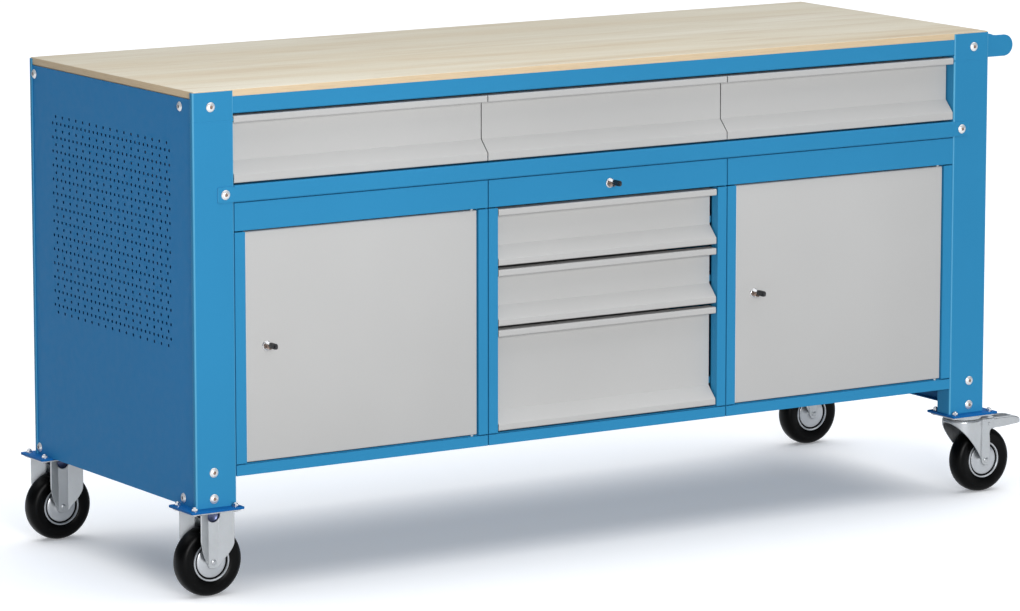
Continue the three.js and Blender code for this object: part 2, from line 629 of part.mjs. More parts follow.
// A drawer front folded from one sheet, in its own frame: x from its middle, y from its foremost
// face, z from its lower edge. A strip along the top overhangs the grip, and a slope leads out
// from the grip to the lip along the bottom.
function makeDrawerFront(width, height, footLip) {
  const t = CASE_SHEET;
  const slopeTop = footLip + GRIP_SLOPE;
  const grip = height - HEAD_LIP;
  const back = GRIP_DEPTH + t;
  const lean = t * 0.6; // the sheet's thickness measured up the slope's ends
  const outer = [
    [back, height], [0, height], [0, grip], [GRIP_DEPTH, grip],
    [GRIP_DEPTH, slopeTop], [0, footLip], [0, 0], [back, 0],
  ];
  const inner = [
    [back, t], [t, t], [t, footLip - lean], [back, slopeTop - lean],
    [back, grip + t], [t, grip + t], [t, height - t], [back, height - t],
  ];
  return prism([...outer, ...inner], 'x', -width / 2, width / 2);
}

// The box behind a front, with the bars of its slides on both sides.
function makeDrawerBox(halfWidth, height) {
  const y0 = GRIP_DEPTH + CASE_SHEET;
  const y1 = y0 + BOX_DEPTH;
  const z0 = BOX_RISE;
  const t = BOX_SHEET;
  const tray = cut(
    box(-halfWidth, halfWidth, y0, y1, z0, z0 + height),
    box(-halfWidth + t, halfWidth - t, y0 + t, y1 - t, z0 + t, z0 + height + 1));
  const barZ0 = z0 + CHANNEL_RISE + CASE_SHEET + GAP;
  const barZ1 = z0 + CHANNEL_RISE + CHANNEL_HEIGHT - CASE_SHEET - GAP;
  const bars = [-1, 1].map((side) => box(
    side * (halfWidth - t / 2), side * (halfWidth + SLIDE_REACH), y0 + 4 * t, y1, barZ0, barZ1));
  return join(tray, ...bars);
}

function addDrawer(name, x, z, width, height, footLip) {
  const group = addGroup(x, -HALF_DEPTH, z);
  const drawerBox = makeDrawerBox(width / 2 - BOX_INSET, height - BOX_HEADROOM);
  addPart(group, `${name}_front`, makeDrawerFront(width, height, footLip), GREY_PAINT);
  addPart(group, `${name}_box`, drawerBox, GREY_PAINT);
}

// ---------------------------------------------------------------- casters

// Caster shapes share a frame with z from the floor. A rigid caster's x is from its plate's middle,
// a swivel caster's from its kingpin, and y is from the wheel's middle plane.

function makeTyre() {
  const outer = WHEEL_DIAMETER / 2;
  const seat = RIM_DIAMETER / 2;
  const half = TYRE_WIDTH / 2;
  const profile = [
    [seat, -half + 4], [seat + 6, -half + 1], [outer - 14, -half], [outer - 4, -half + 4],
    [outer - 0.8, -half + 10], [outer, -half + 14], [outer, half - 14], [outer - 0.8, half - 10],
    [outer - 4, half - 4], [outer - 14, half], [seat + 6, half - 1], [seat, half - 4],
  ];
  return revolve(profile, ROUND_SIDES);
}

// A pressed steel rim: a flange round the tyre's seat, a groove, a domed disc and a hub.
function makeRim() {
  const seat = RIM_DIAMETER / 2;
  const flangeHalf = TYRE_WIDTH / 2 - 3;
  const hubHalf = HUB_WIDTH / 2;
  const bore = AXLE_RADIUS + GAP;
  const face = [
    [seat, flangeHalf], [seat - 4, flangeHalf + 1], [seat - 5.5, flangeHalf - 5],
    [seat - 8, flangeHalf - 2], [bore + 12, flangeHalf + 1], [bore + 4, hubHalf], [bore, hubHalf],
  ];
  const mirrored = face.map(([radius, y]) => [radius, -y]).reverse();
  return revolve([...face, ...mirrored], ROUND_SIDES);
}

function makeAxle() {
  const half = FORK_SPREAD / 2 + FORK_SHEET + GAP;
  const end = half + AXLE_HEAD_HEIGHT;
  const pin = rod('y', 0, 0, AXLE_RADIUS, -half, half);
  const nearHead = rod('y', 0, 0, AXLE_HEAD_RADIUS, -end, -half);
  const farHead = rod('y', 0, 0, AXLE_HEAD_RADIUS, half, end);
  return join(pin, nearHead, farHead);
}

function makeCasterPlate() {
  const plate = box(-FOOT_PLATE_LENGTH / 2, FOOT_PLATE_LENGTH / 2, -FOOT_PLATE_WIDTH / 2,
    FOOT_PLATE_WIDTH / 2, CASTER_HEIGHT - CASTER_PLATE_SHEET, CASTER_HEIGHT);
  return cut(plate, ...boltHoles(0, 0, CASTER_HEIGHT - CASTER_PLATE_SHEET, CASTER_HEIGHT));
}

function axleHole(x) {
  const reach = FORK_SPREAD;
  return rod('y', x, AXLE_Z, AXLE_RADIUS + GAP, -reach, reach);
}

// One leg of the rigid fork: a flat strip between two wings that lean outwards, cut to a taper.
function makeRigidLeg(side) {
  const inner = side * FORK_SPREAD / 2;
  const outer = inner + side * FORK_SHEET;
  const wingInner = inner + side * FORK_WING;
  const wingOuter = outer + side * FORK_WING;
  const flat = FORK_FLAT / 2;
  const section = [
    [-FORK_HALF_WIDTH, wingOuter], [-flat, outer], [flat, outer], [FORK_HALF_WIDTH, wingOuter],
    [FORK_HALF_WIDTH, wingInner], [flat, inner], [-flat, inner], [-FORK_HALF_WIDTH, wingInner],
  ];
  const plateZ = CASTER_HEIGHT - CASTER_PLATE_SHEET;
  const top = plateZ + CASTER_PLATE_SHEET / 2;
  const foot = AXLE_Z - FORK_FOOT;
  const shoulder = AXLE_Z + FORK_SHOULDER;
  const taper = (FORK_HALF_WIDTH + flat) / 2 + FORK_TIP_CHAMFER; // half width midway up the taper
  const edge = [
    [flat - FORK_TIP_CHAMFER, foot], [flat, foot + FORK_TIP_CHAMFER],
    [taper, (foot + FORK_TIP_CHAMFER + shoulder) / 2], [FORK_HALF_WIDTH - 1, shoulder - FORK_TIP_CHAMFER],
    [FORK_HALF_WIDTH, shoulder], [FORK_HALF_WIDTH, top],
  ];
  const outline = [...edge, ...edge.map(([x, z]) => [-x, z]).reverse()];
  const reach = FOOT_PLATE_WIDTH / 2;
  const slotZ = plateZ - FORK_SLOT_DEPTH + FORK_SLOT_RADIUS;
  const slot = prism(
    [
      ...arc(0, slotZ, FORK_SLOT_RADIUS, 180, 360, 8),
      [FORK_SLOT_RADIUS, plateZ], [-FORK_SLOT_RADIUS, plateZ],
    ],
    'y', -reach, reach);
  const leg = prism(section, 'z', foot - 1, top).intersect(prism(outline, 'y', -reach, reach));
  return cut(leg, slot);
}

function makeRigidFork() {
  return cut(join(makeCasterPlate(), makeRigidLeg(-1), makeRigidLeg(1)), axleHole(0));
}

const PEDAL_TOP = AXLE_Z + PEDAL_TREAD_RISE;
const PEDAL_PIVOT_Z = PEDAL_TOP - PEDAL_PIVOT_DROP;
const CROWN_TOP = CASTER_HEIGHT - CASTER_PLATE_SHEET - RACE_HEIGHT - GAP;
const CROWN_BOTTOM = CROWN_TOP - FORK_SHEET;

// The bolted half of a swivel caster: plate, ball race and kingpin.
function makeSwivelPlate() {
  const plateBottom = CASTER_HEIGHT - CASTER_PLATE_SHEET;
  const race = rod('z', 0, 0, RACE_RADIUS, plateBottom - RACE_HEIGHT, plateBottom + 1, ROUND_SIDES);
  const kingpin = rod('z', 0, 0, KINGPIN_RADIUS, CROWN_BOTTOM - GAP, plateBottom);
  const rivet = rod('z', 0, 0, KINGPIN_RADIUS + 4, CROWN_BOTTOM - GAP - 4, CROWN_BOTTOM - GAP);
  return join(makeCasterPlate(), race, kingpin, rivet);
}

// The swivel fork's plan: a round wall about the kingpin that runs out into two flat legs.
function swivelPlan(offset) {
  const legY = FORK_SPREAD / 2 + FORK_SHEET - offset;
  const rear = SWIVEL_TRAIL + LEG_REAR_TOP;
  const radius = CROWN_RADIUS - offset;
  const crease = Math.asin(legY / radius) * 180 / Math.PI;
  return [[rear, legY], ...arc(0, 0, radius, crease, 360 - crease, 14), [rear, -legY]];
}

function makeSwivelFork() {
  const foot = AXLE_Z - LEG_FOOT_RADIUS - 1;
  const rear = SWIVEL_TRAIL + LEG_REAR_TOP;
  const waist = AXLE_Z + LEG_WAIST_HEIGHT;
  const inner = FORK_SPREAD / 2;
  const shell = cut(
    prism(swivelPlan(0), 'z', foot, CROWN_TOP),
    prism([...swivelPlan(FORK_SHEET).slice(1, -1), [rear + 1, -inner], [rear + 1, inner]],
      'z', foot - 1, CROWN_BOTTOM));
  const skirtZ = CROWN_TOP - CROWN_SKIRT;
  // From the crown down the front edge, round the foot and up the rear edge.
  const profile = [
    [rear, CROWN_TOP], [-CROWN_RADIUS - 1, CROWN_TOP], [-CROWN_RADIUS - 1, skirtZ],
    [-CROWN_RADIUS + 4.5, skirtZ - CROWN_SHOULDER / 3],
    [-CROWN_RADIUS + 11.5, skirtZ - CROWN_SHOULDER],
    ...arc(SWIVEL_TRAIL, AXLE_Z, LEG_FOOT_RADIUS, LEG_FOOT_START, 360, 8),
    [SWIVEL_TRAIL + LEG_REAR_WAIST, waist], [SWIVEL_TRAIL + LEG_REAR_WAIST + 1.5, waist + 6],
    [rear - 2.5, waist + 9.5], [rear, waist + 11],
  ];
  const legs = shell.intersect(prism(profile, 'y', -CROWN_RADIUS - 1, CROWN_RADIUS + 1));
  const kingpinHole = rod('z', 0, 0, KINGPIN_RADIUS + GAP, CROWN_BOTTOM - 1, CROWN_TOP + 1);
  const pedalHole = rod('y', PEDAL_PIVOT_X, PEDAL_PIVOT_Z, PEDAL_PIVOT_RADIUS + GAP,
    -CROWN_RADIUS, CROWN_RADIUS);
  return cut(legs, kingpinHole, axleHole(SWIVEL_TRAIL), pedalHole);
}

// The brake pedal: a tread with a skirt round its edge and a slot along its middle. Its root lies
// over the tyre, between the fork's legs, and is welded to the pivot pin.
function makePedal() {
  const t = FORK_SHEET;
  const rootHalf = FORK_SPREAD / 2 - 1;
  const tipHalf = PEDAL_WIDTH / 2;
  const root = PEDAL_PIVOT_X - PEDAL_ROOT;
  const tip = PEDAL_PIVOT_X + PEDAL_LENGTH;
  const legs = SWIVEL_TRAIL + LEG_REAR_TOP;
  const neck = legs + 8;
  const bottom = PEDAL_TOP - PEDAL_SKIRT;
  const plan = (open, inset) => [
    [open, -rootHalf + inset], [legs, -rootHalf + inset], [neck, -tipHalf + inset],
    ...arc(tip - tipHalf, 0, tipHalf - inset, -90, 90, 8),
    [neck, tipHalf - inset], [legs, rootHalf - inset], [open, rootHalf - inset],
  ];
  // The tread from the root to the tip, which turns down, seen from the side.
  const crest = (z) => [
    [root - 1, z], [tip - tipHalf - 3, z], [tip - tipHalf / 2, z - PEDAL_NOSE / 5],
    [tip - tipHalf / 4, z - PEDAL_NOSE / 2], [tip + 1, z - PEDAL_NOSE],
  ];
  const skirt = [
    [tip + 1, PEDAL_TOP - PEDAL_NOSE - t], [tip - 15, bottom + 11.5], [tip - 26, bottom + 10],
    [tip - 36, bottom + 6.5], [tip - 48, bottom + 3.5], [neck + 1, bottom + 1.5],
    [legs - 2, bottom], [root - 1, bottom + 5],
  ];
  const inside = [...crest(PEDAL_TOP - t), [tip + 1, bottom - 1], [root - 1, bottom - 1]];
  const reach = CROWN_RADIUS;
  const outer = prism(plan(root, 0), 'z', bottom - 1, PEDAL_TOP + 1)
    .intersect(prism([...crest(PEDAL_TOP), ...skirt], 'y', -reach, reach));
  const inner = prism(plan(root - 1, t), 'z', bottom - 2, PEDAL_TOP)
    .intersect(prism(inside, 'y', -reach, reach));
  const slot = prism(
    roundedRectangle(neck + 4, tip - PEDAL_WIDTH + 8, -PEDAL_SLOT_HALF, PEDAL_SLOT_HALF,
      PEDAL_SLOT_HALF - 1),
    'z', PEDAL_TOP - t - 1, PEDAL_TOP + 1);
  const pinHalf = FORK_SPREAD / 2 + FORK_SHEET + 1;
  const pin = rod('y', PEDAL_PIVOT_X, PEDAL_PIVOT_Z, PEDAL_PIVOT_RADIUS, -pinHalf, pinHalf);
  return join(cut(outer, inner, slot), pin);
}

function addWheel(group, name, x) {
  const wheel = new THREE.Group();
  wheel.position.set(x, 0, AXLE_Z);
  group.add(wheel);
  addPart(wheel, `${name}_tyre`, makeTyre(), RUBBER);
  addPart(wheel, `${name}_rim`, makeRim(), ZINC);
  addPart(wheel, `${name}_axle`, makeAxle(), ZINC);
}

function addRigidCaster(name, sideY) {
  const group = addGroup(-CASTER_X, sideY * CASTER_Y, 0);
  addPart(group, `${name}_fork`, makeRigidFork(), ZINC);
  addWheel(group, name, 0);
}

function addSwivelCaster(name, sideY) {
  const group = addGroup(CASTER_X, sideY * CASTER_Y, 0);
  addPart(group, `${name}_plate`, makeSwivelPlate(), ZINC);
  addPart(group, `${name}_fork`, makeSwivelFork(), ZINC);
  addPart(group, `${name}_brake_pedal`, makePedal(), ZINC);
  addWheel(group, name, SWIVEL_TRAIL);
}

// ---------------------------------------------------------------- push handle

// Two straps bent out from the end panel, with a round bar welded between them.
function makePushHandle() {
  const skin = HALF_LENGTH - FRAME_SHEET;
  const reach = HALF_LENGTH + HANDLE_REACH;
  const barX = reach - HANDLE_STRAP / 2;
  const barZ = WORK_HEIGHT - HANDLE_DROP;
  const half = HANDLE_STRAP / 2;
  const t = HANDLE_SHEET;
  const straps = [-1, 1].map((side) => {
    const front = side * (HALF_DEPTH - HANDLE_INSET);
    const y = (distance) => front - side * distance;
    const bend = (radius) => arc(0, 0, radius, 180, 90, 4).map(
      ([u, v]) => [skin + HANDLE_BEND + u, y(HANDLE_BEND - v)]);
    const plan = [
      [skin, y(HANDLE_FOOT)], ...bend(HANDLE_BEND), [reach, y(0)],
      [reach, y(t)], ...bend(HANDLE_BEND - t).reverse(), [skin + t, y(HANDLE_FOOT)],
    ];
    const rootZ = barZ + half + HANDLE_FLARE;
    const outline = [
      [skin - 1, barZ - half], ...arc(barX, barZ, half, -90, 90, 12),
      [skin + HANDLE_BEND + 5 * HANDLE_FLARE, barZ + half], [skin + HANDLE_BEND + t, rootZ],
      [skin - 1, rootZ],
    ];
    const strap = prism(plan, 'z', barZ - half, rootZ);
    return strap.intersect(prism(outline, 'y', -HALF_DEPTH, HALF_DEPTH));
  });
  const barEnd = HALF_DEPTH - HANDLE_INSET - t / 2;
  return join(...straps, rod('y', barX, barZ, HANDLE_BAR_RADIUS, -barEnd, barEnd, ROUND_SIDES));
}

// ---------------------------------------------------------------- assembly

addPart(bench, 'worktop', makeWorktop(), PLYWOOD);
for (const [sideX, nameX] of [[-1, 'left'], [1, 'right']]) {
  addPart(bench, `${nameX}_side_panel`, makeSidePanel(sideX), BLUE_PAINT);
  for (const [sideY, nameY] of [[-1, 'front'], [1, 'rear']]) {
    addPart(bench, `${nameY}_${nameX}_post`, makePost(sideX, sideY), BLUE_PAINT);
  }
  addPart(bench, `${nameX}_slide_carrier`, makeEndCarrier(sideX), ZINC);
  addPart(bench, `${nameX}_slide_divider`, makeDivider(sideX), ZINC);
}
addPart(bench, 'front_top_rail', topChannel(-1), BLUE_PAINT);
addPart(bench, 'middle_rail', makeMiddleRail(), BLUE_PAINT);
addPart(bench, 'rear_apron', makeRearApron(), BLUE_PAINT);
addPart(bench, 'front_lower_rail', makeLowerRail(-1), BLUE_PAINT);
addPart(bench, 'rear_lower_rail', makeLowerRail(1), BLUE_PAINT);

const topDrawerNames = ['left', 'centre', 'right'];
topDrawerNames.forEach((name, i) => {
  addDrawer(`${name}_top_drawer`, (i - 1) * TOP_PITCH, TOP_FRONT_Z,
    TOP_FRONT_WIDTH, TOP_FRONT_HEIGHT, TOP_FOOT_LIP);
});

for (const [side, name] of [[-1, 'left'], [1, 'right']]) {
  const cupboard = addGroup(side * CASE_PITCH, 0, 0);
  addPart(cupboard, `${name}_cabinet`, makeDoorCase(), BLUE_PAINT);
  addPart(cupboard, `${name}_shelf`, makeShelf(), BLUE_PAINT);
  addPart(cupboard, `${name}_door`, makeDoor(), GREY_PAINT);
  const lock = addGroup(side * CASE_PITCH + DOOR_LOCK_X, DOOR_FACE_Y, DOOR_LOCK_Z);
  addPart(lock, `${name}_door_lock`, makeLock(DOOR_THICKNESS + 1, DOOR_CAM_REACH), CHROME);
}

addPart(bench, 'centre_cabinet', makeDrawerCase(), BLUE_PAINT);
const unitLock = addGroup(0, -HALF_DEPTH, OPENING_TOP_Z + HEADER_HEIGHT / 2);
addPart(unitLock, 'drawer_unit_lock', makeLock(REVEAL_DEPTH - 4, UNIT_CAM_REACH), CHROME);
for (const level of unitDrawerLevels()) {
  addDrawer(`${level.name}_unit_drawer`, 0, level.bottom,
    2 * (OPENING_HALF - UNIT_SIDE_GAP), level.height, UNIT_FOOT_LIP);
}

addRigidCaster('front_left_caster', -1);
addRigidCaster('rear_left_caster', 1);
addSwivelCaster('front_right_caster', -1);
addSwivelCaster('rear_right_caster', 1);
addPart(bench, 'push_handle', makePushHandle(), BLUE_PAINT);

// The origin is on the floor, in the middle of the space that the whole bench takes up.
const LEFT_REACH = CASTER_X + WHEEL_DIAMETER / 2;
const RIGHT_REACH = CASTER_X + PEDAL_PIVOT_X + PEDAL_LENGTH;
const KEY_REACH = LOCK_HEAD_HEIGHT + KEY_SHANK_LENGTH + KEY_BOW_LENGTH;
bench.position.set((LEFT_REACH - RIGHT_REACH) / 2, (KEY_REACH - FOOT_PLATE_OVERHANG) / 2, 0);

export default bench;
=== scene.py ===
"""Looks of the mobile workbench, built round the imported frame.

Shapes are drawn in the bench's own millimetres: X along the worktop and Y across it, from its
middle, and Z up from the floor. TO_FRAME carries them to the frame's metres.
"""

import json
import math

import bmesh
import bpy
from mathutils import Matrix, Vector
from mathutils.geometry import delaunay_2d_cdt

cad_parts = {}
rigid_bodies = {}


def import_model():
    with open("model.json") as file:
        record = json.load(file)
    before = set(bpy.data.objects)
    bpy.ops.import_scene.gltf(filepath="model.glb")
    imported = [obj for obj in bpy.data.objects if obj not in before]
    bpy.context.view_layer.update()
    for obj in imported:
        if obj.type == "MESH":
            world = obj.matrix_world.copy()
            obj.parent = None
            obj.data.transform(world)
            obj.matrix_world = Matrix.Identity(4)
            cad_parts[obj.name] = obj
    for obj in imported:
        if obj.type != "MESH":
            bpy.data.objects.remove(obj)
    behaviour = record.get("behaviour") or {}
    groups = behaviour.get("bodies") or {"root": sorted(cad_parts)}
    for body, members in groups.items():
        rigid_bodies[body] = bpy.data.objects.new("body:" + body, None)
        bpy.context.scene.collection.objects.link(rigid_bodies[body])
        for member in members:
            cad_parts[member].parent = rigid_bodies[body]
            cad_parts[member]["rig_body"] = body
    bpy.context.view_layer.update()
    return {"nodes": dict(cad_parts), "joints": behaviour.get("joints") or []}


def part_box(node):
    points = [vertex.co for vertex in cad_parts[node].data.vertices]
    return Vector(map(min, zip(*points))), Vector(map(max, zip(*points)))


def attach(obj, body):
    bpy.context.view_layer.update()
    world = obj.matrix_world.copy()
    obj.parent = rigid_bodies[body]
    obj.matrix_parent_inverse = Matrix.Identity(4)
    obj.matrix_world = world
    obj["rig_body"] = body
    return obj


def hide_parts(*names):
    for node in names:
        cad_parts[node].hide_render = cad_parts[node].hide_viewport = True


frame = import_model()

# ---- the frame's places

MM = 0.001
ORIGIN = (0, 0, 0)
top_low, top_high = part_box("worktop")
BENCH_X = (top_low.x + top_high.x) / 2
BENCH_Y = (top_low.y + top_high.y) / 2
TO_FRAME = Matrix.Translation((BENCH_X, BENCH_Y, 0)) @ Matrix.Scale(MM, 4)


def body_of(node):
    return frame["nodes"][node]["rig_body"]


def span(node):
    """x0, x1, y0, y1, z0, z1 of a CAD node, in the bench's millimetres."""
    low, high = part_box(node)
    return [round(value, 3) for pair in (
        ((low.x - BENCH_X) / MM, (high.x - BENCH_X) / MM),
        ((low.y - BENCH_Y) / MM, (high.y - BENCH_Y) / MM),
        (low.z / MM, high.z / MM)) for value in pair]


def joint_place(joint):
    """X, Y and Z of a joint's pivot, in the bench's millimetres."""
    pivot = next(j for j in frame["joints"] if j["name"] == joint)["pos_m"]
    return (pivot[0] - BENCH_X) / MM, (pivot[1] - BENCH_Y) / MM, pivot[2] / MM


SHEET = 2.0  # the frame's steel
CASE_SHEET = 1.5  # the steel of cabinets, doors and fronts
FOLD = 1.2  # inner radius of the frame's folds
FIT = 0.3  # clearance of parts that fit into each other

HALF_LENGTH = span("right_side_panel")[1] + SHEET
HALF_DEPTH = span("right_side_panel")[3] + SHEET
INNER_HALF = span("front_lower_rail")[1]  # from the middle to the posts
POST_WIDTH = HALF_LENGTH - INNER_HALF
RAIL_X0, RAIL_X1, _, _, RAIL_Z0, RAIL_Z1 = span("front_top_rail")
CASE_BOTTOM, CASE_TOP = span("centre_cabinet")[4:]

PLATE_X0, PLATE_X1, PLATE_Y0, PLATE_Y1, PLATE_Z, POST_TOP = span("front_left_post")
PLATE_TOP = PLATE_Z + 4.0
CASTER_PLATE_Z = PLATE_Z - 3.0
CASTER_X = (PLATE_X0 + PLATE_X1) / -2.0
CASTER_Y = (PLATE_Y0 + PLATE_Y1) / -2.0

# side_x, side_y and name of each corner
CORNERS = [(side_x, side_y, f"{name_y}_{name_x}")
           for side_x, name_x in ((-1, "left"), (1, "right"))
           for side_y, name_y in ((-1, "front"), (1, "rear"))]


def assign(thing, **settings):
    for key, value in settings.items():
        setattr(thing, key, value)
    return thing


# ---- materials


def linear(r, g, b):
    """An 8-bit screen colour as linear values."""
    def channel(value):
        value /= 255
        return value / 12.92 if value <= 0.04045 else ((value + 0.055) / 1.055) ** 2.4
    return (channel(r), channel(g), channel(b), 1.0)


def shade(color, factor):
    return tuple(channel * factor for channel in color[:3]) + (1.0,)


class Nodes:
    """Short calls that build the node tree of a material or a world."""

    def __init__(self, owner, output="ShaderNodeOutputMaterial"):
        owner.use_nodes = True
        self.owner = owner
        self.tree = owner.node_tree
        self.tree.nodes.clear()
        self.output = self.tree.nodes.new(output)

    def add(self, kind, inputs=None, **settings):
        """A new node. Inputs that are sockets get linked, and other values are set."""
        node = assign(self.tree.nodes.new(kind), **settings)
        for key, value in (inputs or {}).items():
            if isinstance(value, bpy.types.NodeSocket):
                self.tree.links.new(value, node.inputs[key])
            else:
                node.inputs[key].default_value = value
        return node

    def coords(self, kind="Object"):
        return self.add("ShaderNodeTexCoord").outputs[kind]

    def stretched(self, x, y, z):
        """Object coordinates, scaled along each axis."""
        return self.add("ShaderNodeMapping", {
            "Vector": self.coords(), "Scale": (x, y, z)}).outputs[0]

    def noise(self, scale, detail=2.0, roughness=0.5, vector=None, distortion=0.0):
        return self.add("ShaderNodeTexNoise", {
            "Vector": vector or self.coords(), "Scale": scale, "Detail": detail,
            "Roughness": roughness, "Distortion": distortion}).outputs["Fac"]

    def ramp(self, value, stops):
        node = self.add("ShaderNodeValToRGB", {"Fac": value})
        elements = node.color_ramp.elements
        while len(elements) < len(stops):
            elements.new(0.5)
        for element, (position, color) in zip(elements, stops):
            assign(element, position=position, color=color)
        return node.outputs["Color"]

    def remap(self, value, low, high, start, end):
        """low to high, as the value goes from start to end."""
        return self.add("ShaderNodeMapRange", {
            "Value": value, "From Min": start, "From Max": end,
            "To Min": low, "To Max": high}).outputs[0]

    def mix(self, factor, a, b, blend_type="MIX"):
        return self.add("ShaderNodeMix", {0: factor, 6: a, 7: b}, data_type="RGBA",
                        blend_type=blend_type).outputs[2]

    def tint(self, tone, color, mask, *limits):
        """The tone, mixed with a colour by a mask that is remapped to the limits."""
        return self.mix(self.remap(mask, *limits), tone, color)

    def math(self, operation, *values):
        return self.add("ShaderNodeMath", dict(enumerate(values)), operation=operation).outputs[0]

    def bump(self, height, strength, distance, under=None):
        inputs = {"Height": height, "Strength": strength, "Distance": distance}
        if under:
            inputs["Normal"] = under
        return self.add("ShaderNodeBump", inputs).outputs["Normal"]

    def surface(self, shader):
        """Ends the tree with a shader."""
        self.tree.links.new(shader.outputs[0], self.output.inputs["Surface"])
        return self.owner

    def principled(self, color, roughness, normal, specular=0.5, metallic=0.0):
        """Ends the tree with a Principled shader."""
        return self.surface(self.add("ShaderNodeBsdfPrincipled", {
            "Base Color": color, "Roughness": roughness, "Normal": normal,
            "Specular IOR Level": specular, "Metallic": metallic}))


def material_nodes(name):
    return Nodes(bpy.data.materials.new(name))


def powder_coat(name, color, roughness, fold_highlight_color=None):
    """Baked powder coat: orange peel in the gloss, fine pores and a slight drift of tone. With a
    fold colour, the upright folds, whose normals turn between X and Y, are lightened toward it:
    a painted highlight."""
    n = material_nodes(name)
    speckle = n.noise(950.0, 2.0, 0.6)
    drift = n.remap(n.noise(1.7, 3.0), 0.0, 1.0, 0.3, 0.7)
    tone = n.mix(drift, shade(color, 0.955), shade(color, 1.045))
    tone = n.tint(tone, shade(color, 0.7), speckle, 0.0, 0.1, 0.35, 0.75)
    # painted highlight: upright folds, turned between X and Y, are lightened toward the given
    # colour
    if fold_highlight_color:
        facing = n.add("ShaderNodeVectorMath", {0: n.coords("Normal")}, operation="ABSOLUTE")
        axes = n.add("ShaderNodeSeparateXYZ", {0: facing.outputs[0]}).outputs
        turn = n.math("MINIMUM", axes[0], axes[1])
        tone = n.tint(tone, fold_highlight_color, turn, 0.0, 0.85, 0.2, 0.6)
    gloss = n.remap(n.noise(60.0, 4.0), roughness - 0.05, roughness + 0.07, 0.3, 0.7)
    peel = n.bump(n.noise(420.0, 3.0, 0.55), 0.25, 0.0006)
    return n.principled(tone, gloss, n.bump(speckle, 0.12, 0.0003, peel), specular=0.1)


def zinc(name, color, bump=0.18, spangled=0.025):
    """Bright zinc plate: a faint spangle, a slow drift of tone and an almost even gloss."""
    n = material_nodes(name)
    spangle = n.add("ShaderNodeTexVoronoi", {
        "Vector": n.coords(), "Scale": 420.0}).outputs["Color"]
    tone = n.ramp(n.noise(38.0, 4.0, 0.6),
                  [(0.3, shade(color, 0.97)), (0.5, color), (0.72, shade(color, 1.04))])
    tone = n.mix(spangled, tone, spangle, "SOFT_LIGHT")
    gloss = n.remap(n.noise(150.0, 5.0, 0.65), 0.27, 0.34, 0.25, 0.75)
    return n.principled(tone, gloss, n.bump(n.noise(300.0, 3.0), bump, 0.0004), metallic=0.7)


def plated_steel(name, color, roughness, metallic=1.0):
    """Polished nickel-plated steel with fine handling marks."""
    n = material_nodes(name)
    marks = n.noise(1.0, 4.0, 0.7, n.stretched(900, 140, 900))
    tone = n.mix(n.noise(220.0, 2.0), shade(color, 0.93), color)
    gloss = n.remap(marks, roughness - 0.06, roughness + 0.1, 0.3, 0.7)
    return n.principled(tone, gloss, n.bump(marks, 0.06, 0.0002), metallic=metallic)


def rubber(name):
    """Solid black rubber tyre: satin skin, faint mould flow lines and dust in the low spots."""
    n = material_nodes(name)
    grain = n.noise(900.0, 2.0, 0.6)
    tone = n.ramp(n.noise(45.0, 4.0, 0.6), [(0.35, linear(3, 3, 3)), (0.7, linear(6, 6, 6))])
    tone = n.tint(tone, linear(9, 9, 9), grain, 0.0, 0.25, 0.55, 0.85)
    gloss = n.remap(n.noise(120.0, 4.0), 0.3, 0.4, 0.3, 0.7)
    return n.principled(tone, gloss, n.bump(grain, 0.15, 0.0004), specular=0.09)


def beech_face(name):
    """Pale beech veneer: long soft streaks along X, pores as short dashes, a satin lacquer."""
    n = material_nodes(name)
    broad = n.noise(1.0, 4.0, 0.55, n.stretched(0.9, 7.5, 7.5), 0.5)
    band = n.noise(1.0, 5.0, 0.6, n.stretched(2.2, 34.0, 34.0), 0.8)
    fibre = n.noise(1.0, 3.0, 0.6, n.stretched(16.0, 620.0, 620.0))
    pores = n.noise(1.0, 2.0, 0.5, n.stretched(150.0, 1500.0, 1500.0))
    tone = n.ramp(broad, [
        (0.30, linear(229, 222, 203)), (0.46, linear(221, 212, 190)),
        (0.60, linear(217, 204, 178)), (0.74, linear(203, 182, 151))])
    tone = n.tint(tone, linear(190, 164, 133), band, 0.0, 0.55, 0.52, 0.8)
    tone = n.tint(tone, linear(229, 222, 205), band, 0.35, 0.0, 0.2, 0.45)
    tone = n.tint(tone, linear(180, 158, 128), fibre, 0.0, 0.22, 0.4, 0.75)
    tone = n.tint(tone, linear(150, 122, 92), pores, 0.0, 0.35, 0.64, 0.72)
    gloss = n.remap(fibre, 0.42, 0.56, 0.3, 0.7)
    return n.principled(tone, gloss, n.bump(fibre, 0.12, 0.0005), specular=0.35)


def ply_edge(name):
    """The worktop's cut edge: thin veneers one over another, the darker ones end grain."""
    n = material_nodes(name)
    height = n.add("ShaderNodeSeparateXYZ", {0: n.coords()}).outputs["Z"]
    wobble = n.noise(1.0, 2.0, 0.5, n.stretched(6, 6, 40))
    layer = n.math("ADD", n.math("MULTIPLY", height, 4000.0), n.math("MULTIPLY", wobble, 1.6))
    band = n.math("SINE", layer)
    grain = n.noise(1.0, 4.0, 0.6, n.stretched(26, 26, 900))
    tone = n.mix(n.remap(band, 0.0, 0.55, -0.2, 0.9), linear(227, 204, 169), linear(208, 180, 142))
    tone = n.tint(tone, linear(194, 160, 120), grain, 0.0, 0.4, 0.45, 0.75)
    gloss = n.remap(grain, 0.45, 0.6, 0.3, 0.7)
    normal = n.bump(n.math("ADD", band, grain), 0.1, 0.0003)
    return n.principled(tone, gloss, normal, specular=0.3)


def moulded_plastic(name, color):
    n = material_nodes(name)
    grain = n.noise(1500.0, 2.0, 0.5)
    tone = n.mix(n.noise(90.0, 2.0), shade(color, 0.85), shade(color, 1.2))
    gloss = n.remap(grain, 0.33, 0.44, 0.3, 0.7)
    return n.principled(tone, gloss, n.bump(grain, 0.15, 0.0002))


